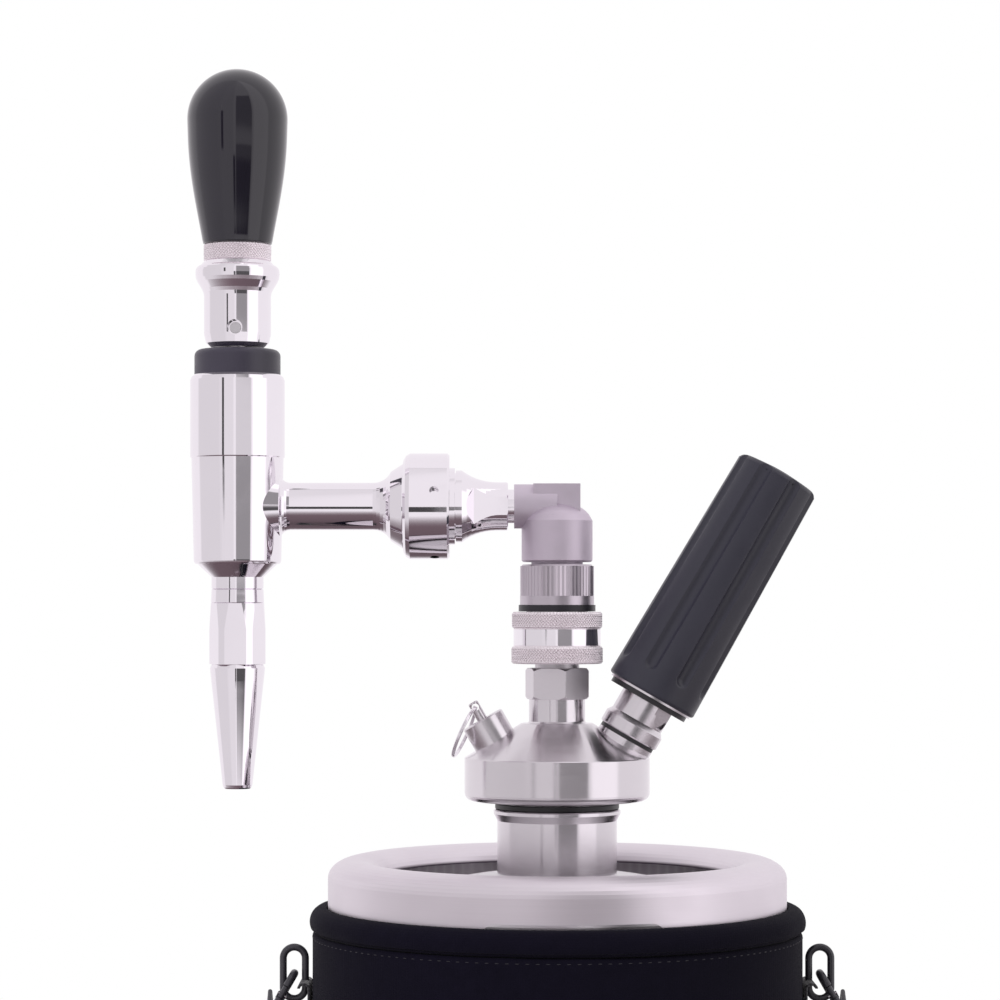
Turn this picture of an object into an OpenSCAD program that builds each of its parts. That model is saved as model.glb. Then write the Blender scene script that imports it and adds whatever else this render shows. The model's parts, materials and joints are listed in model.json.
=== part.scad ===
// Five-litre stainless keg in a carrying jacket, with a screwed lid that carries
// a relief valve, a charger holder, and a stout tap on a quick disconnect.
// Origin: keg axis at the floor. +Z up, the tap reaches towards -X, the user stands at -Y.

/* [Keg] */
// Outer radius of the pressure shell
shell_r = 88; // [80:1:88]
// Thickness of the steel sheet
sheet = 1; // [0.8:0.1:1.2]
// Height of the top of the rolled rim
rim_z = 246; // [240:1:246]
// Outer radius of the rolled rims
rim_r = 89; // [88.9:0.1:89.2]
// Radius of the roll of the top rim
roll_r = 10.5; // [9:0.5:10.5]
// Width of each hand hole, along the rim
hand_w = 67; // [50:1:70]
// Height of the crown of the upper dome
crown_z = 241.5; // [238:0.5:241.5]
// Depth of each dome
dome_h = 33.5; // [30:0.5:33.5]

/* [Jacket] */
// Outer radius of the sleeve
jacket_r = 95; // [94:0.1:95]
// Height of the sleeve's top edge
jacket_z = 227.8; // [225:0.1:228]
// Height of the folded hem
hem_h = 9.8; // [8:0.1:11]
// Thickness of the sleeve's floor
jacket_floor = 4; // [3:0.5:4]
// Width of the strap's webbing
strap_w = 25; // [20:1:25]
// How far the strap hangs down behind the keg, along its own slope
strap_drop = 212; // [200:1:212]
// Slope of the hanging strap, from the vertical
strap_lean = 38; // [37:1:40]

/* [Lid] */
// Radius of the neck of the keg
neck_r = 23.3; // [23.2:0.1:23.4]
// Radius of the lid
lid_r = 36; // [36:0.5:38]
// Height of the lid's lower edge
lid_z = 268.6; // [268:0.1:269]
// Height of the lid's straight band
band_h = 16.7; // [16:0.1:17]
// Slope of the relief valve and the charger holder, from the vertical
side_lean = 30; // [28:1:31]

/* [Tap] */
// Distance from the keg's axis to the tap's axis
reach = 124.3; // [124:0.1:130]
// Height of the arm's axis
arm_z = 382.8; // [382.8:0.1:383]
// Radius of the coupling nut
nut_r = 20.6; // [20:0.1:21]
// Radius of the shank
shank_r = 9.2; // [9:0.1:9.6]
// Radius of the tap's upper sleeve
sleeve_r = 18.35; // [18:0.05:19]
// Radius of the tap's lower body
body_r = 17; // [16.5:0.1:17]
// Radius of the bore at the nozzle's tip
tip_bore_r = 4.5; // [4:0.1:4.6]
// Largest radius of the knob
knob_r = 19.5; // [18:0.1:20]
// Height of the knob's top
top_z = 552.7; // [550:0.1:555]

/* [Charger] */
// Radius of the cartridge
cartridge_r = 9.2; // [8.8:0.1:9.3]
// Length of the grip along its axis
grip_l = 100.7; // [98:0.1:100.7]
// Radius of the grip at its mouth
grip_r0 = 18.5; // [18:0.1:18.5]
// Radius of the grip at its closed end
grip_r1 = 16.7; // [16:0.1:16.7]

/* [Hidden] */
$fn = 96;
STEEL = "#c9c4c8";
CHROME = "#e6e2e6";
BLACK = "#2b2930";
NEOPRENE = "#211f26";
RUBBER = "#2e2f36";
WASHER = "#38363c";
// Overrun of a cutter past the face that it leaves
cut = 1;
// Gap between faces of pieces that move on each other
gap = 0.05;

// Shell: the two domes start where the straight wall ends
top_tangent = crown_z - dome_h;
foot_z = jacket_floor;
bottom_dome_z = foot_z + 10;
low_tangent = bottom_dome_z + dome_h;
seam_z = (top_tangent + low_tangent) / 2;
dome_steps = 16;
skirt_lap = 3;
foot_roll = 8.5;
roll_h = 7.2;
hand_top = 229.4;
hand_h = 16;
hand_yaw = 3;
hand_corner = 5;

// Neck
neck_bore = 20.5;
neck_top = 281;
bead_r = 24.7;
bead_z = 265.1;
bead_h = 1.6;
bead_cone = 2.7;
crest_r = 23;
root_r = 22.1;
thread_z = 267.5;
thread_pitch = 2.7;
thread_turns = 5;

// Lid
ceiling_z = 283;
lid_bore = neck_r;
recess_r = 18.6;
recess_h = 2;
lid_edge = 3;
cone_top_r = 14;
cone_top_z = 298.5;
boss_r = 10.95;
boss_top = 307.9;
lid_top = lid_z + band_h;
tube_r = 4;
tube_wall = 0.8;
tube_end = 20;
passage_r = 4.3;
spigot_r = 6.9;
side_hole_x = 17;
side_hole_r = 1.4;
relief_hole_top = 288.5;
gas_hole_top = 291.5;

// Liquid post
hex_flats = 22.2;
hex_top = 319.9;
hex_yaw = -16;
plug_r = 9.2;
plug_top = 344;
ball_z = 330;
ball_r = 1.5;
ball_ring = 10.65;
ball_count = 6;
seal_z = 336.5;
seal_ring = 8.2;
seal_r = 1.1;

// Quick disconnect
socket_r = 9.35;
socket_z = 322.6;
core_r = 12;
core_top = 344.5;
stub_r = 10.9;
stub_top = 351;
collar_z = 321.7;
collar_low_top = 328.3;
collar_band_top = 335.5;
collar_top = 341.8;
collar_low_r = 17.75;
collar_band_r = 16.85;
collar_high_r = 17.55;
land_r = 12.25;
relief_r = 13.8;
counter_r = 15.8;
land_low = 328.4;
land_high = 331.6;
counter_z = 338;
black_r = 14.95;
black_z = 342;

// Knurled sleeve and elbow
knurl_r = 14.4;
knurl_depth = 0.35;
knurl_inset = 0.1;
knurl_teeth = 54;
knurl_z = 348;
sleeve_top = 360.2;
elbow_z = 361.2;
elbow_r = 13.8;
elbow_bore = 4.5;
elbow_spigot = 10;
shoulder_z = 374.5;
shoulder_a = 14.3;
shoulder_b = 10.4;
block_x0 = -9.3;
block_x1 = 8.9;
block_y = 7.2;
block_top = 391.5;
port_r = 8.6;
port_x = 16.7;

// Arm, measured from the keg's axis towards the tap
stub_end = 19.1;
bell_end = 36.9;
bell_r0 = 9.4;
bell_r1 = 13.9;
bell_curve = 2.4;
flat_y = 8.7;
flat_end = 32.3;
ring_end = 39.3;
groove_end = 39.7;
nut_x0 = 41.8;
nut_x1 = 59.7;
flange_r = 15;
thread_r = 17.8;
nut_bore = 18;
washer_x = 53;
tail_x = 54.4;
tail_flange = 57;
flare_r = 16.5;
flare_x = 60;
flare_end = 67.4;
spanner_x = 47.5;
spanner_r = 1.75;
spanner_count = 4;
spanner_turn = 15.5;
shank_fillet = 4;
root_flare = 5.2;
arm_bore = 4;

// Tap body, heights
tap_seam = 401.6;
sleeve_end = 433.9;
cone_z = 361.2;
cone_end = 355.3;
body_taper = 0.9;
throat_r = 10.1;
nozzle_z = 350.9;
chamber_r = 10.5;
chamber_z = 359;
inner_r = 14;
inner_top = 425;
seat_r = 5;
tip_z = 273.1;
tip_r = 5.5;
waist_r = 10.9;
nozzle_bore = 7;
flats_z0 = 321.5;
flats_z1 = 345.2;
flats_w = 20.1;
bonnet_top = 443.7;
bonnet_r = 16.7;
bonnet_round = 2.6;
stem_r = 3;
stem_gap = 0.08;
stem_eye = 5.4;
pin_z = 451.5;
pin_r = 2.15;
pin_gap = 0.06;
pin_l = 20;
lever_z = 444.5;
lever_top = 477.9;
lever_r = 13;
bulge_r = 16.3;
bulge_z = 473.6;
waist_z = 466.4;
ferrule_top = 484.6;
ferrule_r = 13.1;
knob_foot_r = 13.4;
plunger_r = 7.5;

// Relief valve, on its own leaning axis
relief_x = 24.4;
relief_z = 291.9;
relief_body_r = 8.5;
relief_top = 9.4;
relief_foot = 6.2;
spot = 1;
pull_pin_r = 2.05;
pull_pin_top = 17;
pull_hole_z = 14.75;
pull_hole_r = 1.45;
pull_ring_r = 10.4;
pull_wire = 0.5;
pull_lean = 24;

// Charger, on its own leaning axis
charger_x = 27.6;
charger_z = 293.9;
head_r = 12.2;
head_h = 6;
head_waist = 10.75;
mouth_t = 17.1;
dust_ring_r = 16.3;
dust_ring_bore = 11.2;
dust_ring_h = 2;
head_flats = 18.6;
flats_yaw = -36;
screw_r = 10.5;
screw_top = 31;
face_t = 28.6;
cartridge_l = 66;
shoulder_t = 46;
tube_out = 13.2;
tube_top = 107;
cavity_top = 96.5;
grip_channels = 8;
channel_r = 3.2;
channel_out = 1.6;
channel_at = 11;
channel_taper = 1.6;

// Side fittings; side is -1 at the left and 1 at the right
ring_x = 102.2;
ring_half = 4.3;
ring_z0 = 195.7;
ring_z1 = 207.1;
wire_r = 1.4;
tab_r = 2.6;
tab_z0 = 195.9;
tab_z1 = 199.8;
patch = 1.2;
hook_z = 201.2;
hook_lean = 30;
hook_half = 5;
hook_l = 16;
hook_r = 1.6;
eye_at = 20.6;
eye_r = 4.9;
eye_hole = 2.9;
eye_t = 1.8;
eye_neck = 1.7;
gate_at = 10.4;
gate_gap = 0.6;
gate_r = 1.25;
pivot_at = 8.8;
pivot_r = 0.5;
rivet_x = 1.9;
ear_x = 1.3;
ear_t = 0.5;
ear_half = 1;
bar_r = 0.9;
strap_t = 1.6;
strap_u = ring_x + eye_at * sin(hook_lean);
strap_v = hook_z - eye_at * cos(hook_lean);
strap_start = 10;
strap_straight = 90;
pad_w = 40;
pad_t = 8;
pad_half = 70;

// Points of an arc about c, from angle a to angle b
function arc(c, r, a, b, n = 8) =
    [for (i = [0:n]) c + r * [cos(a + (b - a) * i / n), sin(a + (b - a) * i / n)]];

// Points of a quarter ellipse, from the axis out to the full radius
function dome(r, h, z, up) =
    [for (i = [0:dome_steps]) [r * sin(90 * i / dome_steps), z + up * h * cos(90 * i / dome_steps)]];

// Outline of the strap's hanging loop: two straight runs and half an ellipse
function loop_outline(w, drop) = concat(
    [[-w, strap_start + 2], [w, strap_start + 2]],
    [for (i = [0:36]) [w * cos(5 * i), strap_straight + (drop - strap_straight) * sin(5 * i)]]);

// Outline of a cylinder with pointed teeth
function toothed(r, depth, n) =
    [for (i = [0:2 * n - 1]) (r - depth * (i % 2)) * [cos(180 * i / n), sin(180 * i / n)]];

module tube(ro, ri, z0, z1) {
    difference() {
        translate([0, 0, z0]) cylinder(r = ro, h = z1 - z0);
        translate([0, 0, z0 - cut]) cylinder(r = ri, h = z1 - z0 + 2 * cut);
    }
}

module rod(r, z0, z1) {
    translate([0, 0, z0]) cylinder(r = r, h = z1 - z0);
}

module turned(points) {
    rotate_extrude() polygon(points);
}

module torus(ring, r) {
    rotate_extrude() translate([ring, 0]) circle(r = r);
}

// A close-wound wire, swept with six sides along a helix from z0 to z1
module coil(ring, wire, turns, z0, z1) {
    steps = 14;
    sides = 6;
    n = steps * turns;
    points = [for (i = [0:n], j = [0:sides - 1])
        let (a = 360 * i / steps, b = 360 * j / sides, r = ring + wire * cos(b))
        [r * cos(a), r * sin(a), z0 + wire + (z1 - z0 - 2 * wire) * i / n + wire * sin(b)]];
    quads = [for (i = [0:n - 1], j = [0:sides - 1])
        let (k = (j + 1) % sides)
        [i * sides + j, i * sides + k, (i + 1) * sides + k, (i + 1) * sides + j]];
    ends = [[for (j = [0:sides - 1]) sides - 1 - j], [for (j = [0:sides - 1]) n * sides + j]];
    polyhedron(points = points, faces = concat(quads, ends), convexity = 10);
}

// Places a turned piece on the arm, its local z running towards the tap
module on_arm() {
    translate([0, 0, arm_z]) rotate([0, -90, 0]) children();
}

module on_tap() {
    translate([-reach, 0, 0]) children();
}

module on_relief() {
    translate([-relief_x, 0, relief_z]) rotate([0, -side_lean, 0]) children();
}

module on_charger() {
    translate([charger_x, 0, charger_z]) rotate([0, side_lean, 0]) children();
}

// The hanging strap's frame: x across, y down its slope, z along the webbing's width
module on_strap() {
    translate([0, 0, strap_v]) rotate([strap_lean - 90, 0, 0]) children();
}

// The hook's frame: z runs back up its length, x lies in its thickness
module on_hook(side) {
    translate([side * ring_x, 0, hook_z]) rotate([0, -side * hook_lean, 0]) children();
}

module hand_slot() {
    half = hand_w / 2 - hand_corner;
    rise = hand_h - 2 * hand_corner;
    translate([0, 0, hand_top - hand_h / 2]) rotate([90, 0, 0]) {
        translate([0, 0, shell_r / 2]) {
            for (x = [-half, half], z = [-rise / 2, rise / 2])
                translate([x, z, 0]) cylinder(r = hand_corner, h = shell_r);
            translate([-half, -hand_h / 2, 0]) cube([2 * half, hand_h, shell_r]);
            translate([-hand_w / 2, -rise / 2, 0]) cube([hand_w, rise, shell_r]);
        }
    }
}

module shell_half(z, up) {
    inner = shell_r - sheet;
    turned(concat(
        dome(shell_r, dome_h, z, up),
        [[shell_r, seam_z], [inner, seam_z]],
        [for (i = [dome_steps:-1:0]) dome(inner, dome_h - sheet, z, up)[i]]));
}

module shell_upper() {
    color(STEEL) difference() {
        shell_half(top_tangent, 1);
        rod(neck_r, top_tangent, crown_z + cut);
    }
}

module shell_lower() {
    color(STEEL) shell_half(low_tangent, -1);
}

module neck() {
    thread = [for (i = [0:thread_turns - 1]) each [
        [root_r, thread_z + i * thread_pitch],
        [crest_r, thread_z + (i + 0.3) * thread_pitch],
        [crest_r, thread_z + (i + 0.6) * thread_pitch],
        [root_r, thread_z + (i + 0.9) * thread_pitch]]];
    color(STEEL) turned(concat(
        [[neck_bore, crown_z - 5], [neck_r, crown_z - 5],
         [neck_r, bead_z - bead_h - bead_cone], [bead_r, bead_z - bead_h],
         [bead_r, bead_z - 0.4], [bead_r - 0.4, bead_z], [root_r, bead_z + 0.2]],
        thread,
        [[root_r, neck_top], [neck_bore, neck_top]]));
}

// A half oval about the rim's roll, from the outside over to the inside
function roll_arc(r, a, b, z, up) =
    [for (i = [0:16]) [r + a * cos(180 * i / 16), z + up * b * sin(180 * i / 16)]];

// A rolled rim on a straight skirt; up is 1 at the top of the keg and -1 at its foot
module rolled_rim(r, roll, height, top, skirt_end, up) {
    z = top - up * height;
    outer = roll_arc(r - roll, roll, height, z, up);
    inner = roll_arc(r - roll, roll - sheet, height - sheet, z, up);
    turned(concat([[r - sheet, skirt_end], [r, skirt_end]], outer, [for (i = [16:-1:0]) inner[i]]));
}

module top_chime() {
    color(STEEL) difference() {
        rolled_rim(rim_r, roll_r, roll_h, rim_z, top_tangent - skirt_lap, 1);
        for (a = [0, 180]) rotate([0, 0, hand_yaw + a]) hand_slot();
    }
}

module foot_ring() {
    color(STEEL) rolled_rim(rim_r, foot_roll, foot_roll, foot_z, low_tangent + skirt_lap, -1);
}

module jacket_wall() {
    color(NEOPRENE) tube(jacket_r, rim_r + 0.3, jacket_floor, jacket_z - hem_h);
}

module jacket_hem() {
    inner = rim_r + 0.3;
    low = jacket_z - hem_h;
    color(NEOPRENE) turned(concat(
        [[inner, low], [jacket_r + 0.3, low]],
        arc([inner + 1, jacket_z - 6], 6, -10, 90, 8),
        [[inner, jacket_z - 0.6]]));
}

module jacket_base() {
    color(NEOPRENE) rod(jacket_r, 0, jacket_floor);
}

module side_tab(side) {
    bar_x = side * (ring_x - ring_half);
    difference() {
        union() {
            translate([bar_x, 0, 0]) rod(tab_r, tab_z0, tab_z1);
            rotate([0, 0, side > 0 ? -7 : 173]) rotate_extrude(angle = 14)
                translate([jacket_r, tab_z0 - 26]) square([patch, tab_z1 - tab_z0 + 26]);
        }
        translate([bar_x, 0, 0]) rod(wire_r + 0.1, tab_z0 - 30, tab_z1 + cut);
        rod(jacket_r, tab_z0 - 30, tab_z1 + cut);
    }
}

module side_tabs() {
    color(NEOPRENE) for (side = [-1, 1]) side_tab(side);
}

module side_ring(side) {
    for (x = [-ring_half, ring_half]) translate([side * ring_x + x, 0, 0]) rod(wire_r, ring_z0, ring_z1);
    for (end = [0, 1]) translate([side * ring_x, 0, end ? ring_z1 : ring_z0]) rotate([90, 0, 0])
        rotate([0, 0, end ? 0 : 180]) rotate_extrude(angle = 180) translate([ring_half, 0]) circle(r = wire_r);
}

module ring_left() {
    color(BLACK) side_ring(-1);
}

module ring_right() {
    color(BLACK) side_ring(1);
}

// A bar bent round one end of the hook, in the plane of y and z
module hook_bend(z, turn) {
    translate([0, 0, z]) rotate([0, 90, 0]) rotate([0, 0, turn])
        rotate_extrude(angle = 180) translate([hook_half, 0]) circle(r = hook_r);
}

module snap_hook(side) {
    low = -(hook_l - hook_half);
    on_hook(side) {
        hook_bend(-hook_half, 90);
        hook_bend(low, -90);
        translate([0, hook_half, 0]) rod(hook_r, low, -hook_half);
        translate([0, -hook_half, 0]) rod(hook_r, low, -gate_at);
        for (x = [-ear_x - ear_t, ear_x]) translate([x, -hook_half - ear_half, -gate_at - 0.8])
            cube([ear_t, 2 * ear_half, gate_at + 0.8 - pivot_at + 0.9]);
        translate([0, -hook_half, -pivot_at]) rotate([0, 90, 0]) rod(pivot_r, -rivet_x, rivet_x);
        difference() {
            union() {
                translate([-eye_t / 2, -eye_neck, -eye_at + 1]) cube([eye_t, 2 * eye_neck, eye_at - hook_l]);
                translate([0, 0, -eye_at]) rotate([90, 0, 0]) rod(eye_r, -eye_t / 2, eye_t / 2);
            }
            translate([0, 0, -eye_at]) rotate([90, 0, 0]) rod(eye_hole, -eye_t, eye_t);
        }
    }
}

module hook_left() {
    color(BLACK) snap_hook(-1);
}

module hook_right() {
    color(BLACK) snap_hook(1);
}

module hook_gate(side) {
    on_hook(side) translate([0, -hook_half, 0]) difference() {
        rod(gate_r, -gate_at + gate_gap, -hook_half - gate_gap / 2);
        translate([0, 0, -pivot_at]) rotate([0, 90, 0]) rod(pivot_r + gap, -gate_r - cut, gate_r + cut);
    }
}

module gate_left() {
    color(BLACK) hook_gate(-1);
}

module gate_right() {
    color(BLACK) hook_gate(1);
}

module strap_rings() {
    span = strap_w / 2 + 2.5;
    color(BLACK) on_strap() for (side = [-1, 1]) translate([side * strap_u, 0, 0]) {
        for (y = [0, strap_start]) translate([0, y, 0]) rod(bar_r, -span, span);
        for (z = [-span, span]) translate([0, -bar_r, z]) rotate([-90, 0, 0])
            rod(bar_r, 0, strap_start + 2 * bar_r);
    }
}

module band(half_t) {
    difference() {
        polygon(loop_outline(strap_u + half_t, strap_drop + half_t));
        translate([0, -cut]) polygon(loop_outline(strap_u - half_t, strap_drop - half_t + cut));
    }
}

module shoulder_strap() {
    color(BLACK) on_strap() translate([0, 0, -strap_w / 2]) linear_extrude(height = strap_w)
        difference() {
            union() {
                band(strap_t / 2);
                for (side = [-1, 1]) translate([side * strap_u, strap_start]) circle(r = bar_r + strap_t + 0.1);
            }
            for (side = [-1, 1]) translate([side * strap_u, strap_start]) circle(r = bar_r + 0.1);
        }
}

module strap_slider() {
    span = strap_w / 2 + 1;
    color(BLACK) on_strap() translate([-strap_u, 0, 0]) {
        for (z = [-span - 2, span]) translate([-4, 42, z]) cube([8, 26, 2]);
        for (i = [0:2]) translate([2.4 * (i % 2 == 0 ? 1 : -1), 45 + 10 * i, 0]) rod(1.4, -span - 1, span + 1);
    }
}

module shoulder_pad() {
    color(NEOPRENE) on_strap() difference() {
        translate([0, 0, -pad_w / 2]) linear_extrude(height = pad_w) intersection() {
            band(pad_t / 2);
            translate([-pad_half, strap_straight]) square([2 * pad_half, strap_drop]);
        }
        translate([0, 0, -strap_w / 2 - 0.3]) linear_extrude(height = strap_w + 0.6) band(strap_t / 2 + 0.1);
    }
}

module lid_gasket() {
    color(WASHER) tube(crest_r - 0.3, neck_bore - 1.4, neck_top + gap, ceiling_z - gap);
}

module dip_tube() {
    flange_z = ceiling_z + recess_h;
    color(STEEL) {
        tube(tube_r, tube_r - tube_wall, tube_end, cone_top_z);
        tube(spigot_r, tube_r, flange_z - 1.6, flange_z - 0.3);
    }
}

// Passage from under the lid up into a side fitting's thread
module side_passage(x, r, top) {
    translate([x, 0, 0]) rod(r, ceiling_z - cut, top);
}

module lid_body() {
    color(STEEL) difference() {
        union() {
            turned(concat(
                [[0, lid_z]],
                arc([lid_r - lid_edge, lid_z + lid_edge], lid_edge, -90, 0, 6),
                [[lid_r, lid_top - 0.3], [lid_r - 0.3, lid_top],
                 [cone_top_r, cone_top_z], [boss_r + 0.5, cone_top_z + 0.2],
                 [boss_r, cone_top_z + 0.8], [boss_r, boss_top], [0, boss_top]]));
            on_charger() rod(head_r - 0.7, -6, -1.6);
        }
        rod(lid_bore, lid_z - cut, ceiling_z);
        rod(recess_r, ceiling_z - cut, ceiling_z + recess_h);
        rod(passage_r, ceiling_z, boss_top + cut);
        rod(spigot_r, cone_top_z + 1, boss_top + cut);
        on_relief() rod(relief_body_r, -spot, 20);
        on_relief() rod(4.9, -7.5, 20);
        on_charger() rod(7, -8, 20);
        side_passage(-side_hole_x, side_hole_r, relief_hole_top);
        side_passage(side_hole_x + 0.2, side_hole_r, gas_hole_top);
    }
}

module liquid_post() {
    color(STEEL) difference() {
        union() {
            rod(spigot_r, cone_top_z + 2, boss_top);
            intersection() {
                rotate([0, 0, hex_yaw]) rod(hex_flats / sqrt(3), boss_top, hex_top, $fn = 6);
                turned([[0, boss_top], [11.6, boss_top], [12.7, boss_top + 1], [12.7, hex_top - 1],
                        [11.6, hex_top], [0, hex_top]]);
            }
            rod(plug_r - 0.6, hex_top, socket_z + 1);
            rod(plug_r, socket_z + 1, plug_top - 0.8);
            translate([0, 0, plug_top - 0.8]) cylinder(r1 = plug_r, r2 = plug_r - 0.8, h = 0.8);
        }
        translate([0, 0, ball_z]) torus(ball_ring, ball_r + 0.25);
        translate([0, 0, seal_z]) torus(seal_ring, seal_r);
        rod(4, cone_top_z, plug_top + cut);
        rod(5.9, 325, 341);
        rod(5, 340, plug_top + cut);
    }
}

module post_seal() {
    color(WASHER) translate([0, 0, seal_z]) torus(seal_ring, seal_r);
}

module post_poppet() {
    color(STEEL) {
        rod(5.6, 338.6, 340.9);
        rod(2, 329, 338.6);
    }
}

module post_spring() {
    color(STEEL) coil(4.3, 0.45, 5, 325.05, 338.5);
}

module relief_body() {
    color(STEEL) on_relief() difference() {
        union() {
            rod(relief_body_r, -spot, relief_top - 0.5);
            translate([0, 0, relief_top - 0.5]) cylinder(r1 = relief_body_r, r2 = relief_body_r - 0.5, h = 0.5);
            rod(4.9, -relief_foot, -spot);
        }
        rod(2, -9, 1);
        rod(5.2, -0.6, relief_top - 1.6);
        rod(pull_pin_r + 0.15, 0, relief_top + cut);
    }
}

module relief_stem() {
    color(STEEL) on_relief() difference() {
        union() {
            rod(pull_pin_r, 2, pull_pin_top - 0.5);
            translate([0, 0, pull_pin_top - 0.5])
                cylinder(r1 = pull_pin_r, r2 = pull_pin_r - 0.4, h = 0.5);
            rod(4.6, 0.8, 2);
        }
        translate([0, 0, pull_hole_z]) rotate([90, 0, 0]) rod(pull_hole_r, -5, 5);
    }
}

module relief_seal() {
    color(WASHER) on_relief() rod(3.6, -0.5, 0.8);
}

module relief_spring() {
    color(STEEL) on_relief() coil(3.6, 0.35, 4, 2.05, relief_top - 1.65);
}

// A split key ring: two turns of wire side by side
module pull_ring() {
    color(STEEL) on_relief() translate([0, 0, pull_hole_z]) rotate([0, side_lean + pull_lean, 0])
        translate([0, 0, -pull_ring_r]) rotate([0, 90, 0]) rotate_extrude() {
            for (s = [-1, 1]) translate([pull_ring_r, s * pull_wire * 0.95]) circle(r = pull_wire);
        }
}

module gas_inlet() {
    color(STEEL) on_charger() difference() {
        union() {
            rod(7, -7, 0);
            turned([[0, 0], [head_r - 0.5, 0], [head_r, 0.5], [head_r, head_h - 1.2],
                    [head_waist, head_h + 0.9], [head_waist, mouth_t - 0.6],
                    [screw_r, mouth_t - 0.3], [screw_r, screw_top], [0, screw_top]]);
        }
        rotate([0, 0, flats_yaw]) for (s = [-1, 1]) translate([s * (head_flats / 2 + 5), 0, 0]) {
            translate([-5, -20, head_h + 6]) cube([10, 40, mouth_t - head_h - 6.2]);
            translate([-5, 0, head_h + 6]) rotate([0, 90, 0]) cylinder(r = 4.6, h = 10);
        }
        rod(2, -8, 24);
        rod(1.5, -8, screw_top);
        rod(4.7, face_t - 0.3, screw_top + cut);
    }
}

module inlet_seal() {
    color(WASHER) on_charger() tube(head_r - 0.9, 7, -1.6, 0);
}

module piercing_pin() {
    color(STEEL) on_charger() {
        rod(1.5, 24.2, face_t - 0.6);
        translate([0, 0, face_t - 0.6]) cylinder(r1 = 1.1, r2 = 0.3, h = 3);
    }
}

module gas_cartridge() {
    end = face_t + cartridge_l;
    color("#9a979d") on_charger() difference() {
        turned(concat(
            [[1.4, face_t], [4, face_t], [4.3, face_t + 0.3], [4.3, face_t + 8]],
            arc([cartridge_r - 7, shoulder_t], 7, -60, 0, 4),
            arc([0, end - cartridge_r], cartridge_r, 0, 90, 8),
            arc([0, end - cartridge_r], cartridge_r - 1.5, 90, 0, 8),
            [[cartridge_r - 1.5, shoulder_t], [2.8, face_t + 9], [2.8, face_t + 1.5], [1.4, face_t + 1.2]]));
    }
}

module holder_tube() {
    color(STEEL) on_charger() difference() {
        union() {
            rod(tube_out, mouth_t, tube_top);
            rod(grip_r0 - 1.2, mouth_t, mouth_t + 0.8);
        }
        rod(screw_r + 0.1, mouth_t - cut, screw_top + 0.5);
        rod(cartridge_r + 0.25, mouth_t, cavity_top);
    }
}

module dust_ring() {
    color(WASHER) on_charger() tube(dust_ring_r, dust_ring_bore, mouth_t - dust_ring_h, mouth_t);
}

// Radius of the grip's outside at a distance t from its mouth
function grip_at(t) = grip_r0 + (grip_r1 - grip_r0) * t / grip_l;

module holder_grip() {
    low = mouth_t + 0.8;
    lean = atan((grip_r0 - grip_r1) / grip_l);
    color(RUBBER) on_charger() translate([0, 0, low]) difference() {
        turned(concat(
            [[0, 0], [grip_r0 - 1, 0]],
            arc([grip_r0 - 1, 1], 1, -90, 0, 4),
            [[grip_at(8), 8], [grip_at(grip_l - 3), grip_l - 3]],
            arc([grip_r1 - 2.4, grip_l - 3], 2.4, 5, 80, 5),
            [[0, grip_l]]));
        rod(tube_out, -cut, tube_top - low);
        for (i = [0:grip_channels - 1]) rotate([0, 0, 360 * (i + 0.5) / grip_channels])
            translate([grip_at(9) + channel_out, 0, channel_at]) rotate([0, -lean, 0])
                turned([[0, -channel_taper], [channel_out - 0.2, -channel_taper],
                        [channel_r, 0], [channel_r, grip_l], [0, grip_l]]);
    }
}

module disconnect_body() {
    color(STEEL) difference() {
        union() {
            rod(core_r, socket_z, core_top);
            rod(stub_r, core_top, stub_top);
        }
        rod(socket_r, socket_z - cut, plug_top + 0.6);
        rod(arm_bore, plug_top, stub_top + cut);
        for (i = [0:ball_count - 1]) rotate([0, 0, 360 * i / ball_count])
            translate([0, 0, ball_z]) rotate([0, 90, 0]) rod(ball_r + 0.05, 6, 16);
    }
}

module locking_balls() {
    color(CHROME) for (i = [0:ball_count - 1]) rotate([0, 0, 360 * i / ball_count])
        translate([ball_ring - 0.05, 0, ball_z]) sphere(r = ball_r);
}

module disconnect_ring() {
    color(BLACK) tube(black_r, core_r, black_z, core_top);
}

module collar_spring() {
    color(STEEL) coil(12.95, 0.5, 4, land_high + gap, black_z - gap);
}

module release_collar() {
    color(STEEL) difference() {
        turned([
            [land_r, land_low], [relief_r, land_low], [relief_r, collar_z],
            [collar_low_r - 0.6, collar_z], [collar_low_r, collar_z + 0.6],
            [collar_low_r, collar_low_top - 0.5], [collar_low_r - 0.5, collar_low_top],
            [collar_band_r, collar_low_top], [collar_band_r, collar_band_top],
            [collar_high_r - 0.5, collar_band_top], [collar_high_r, collar_band_top + 0.5],
            [collar_high_r, collar_top - 0.6], [collar_high_r - 0.6, collar_top],
            [counter_r, collar_top], [counter_r, counter_z], [relief_r, counter_z],
            [relief_r, land_high], [land_r, land_high]]);
    }
}

module knurled_sleeve() {
    color(STEEL) difference() {
        union() {
            rod(knurl_r, core_top, knurl_z);
            translate([0, 0, knurl_z]) linear_extrude(height = sleeve_top - 0.6 - knurl_z)
                polygon(toothed(knurl_r - knurl_inset, knurl_depth, knurl_teeth));
            translate([0, 0, sleeve_top - 0.6])
                cylinder(r1 = knurl_r - knurl_depth - 2 * knurl_inset, r2 = knurl_r - 1, h = 0.6);
        }
        rod(stub_r, core_top - cut, stub_top + 0.2);
        rod(elbow_spigot, stub_top, sleeve_top + cut);
    }
}

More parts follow.
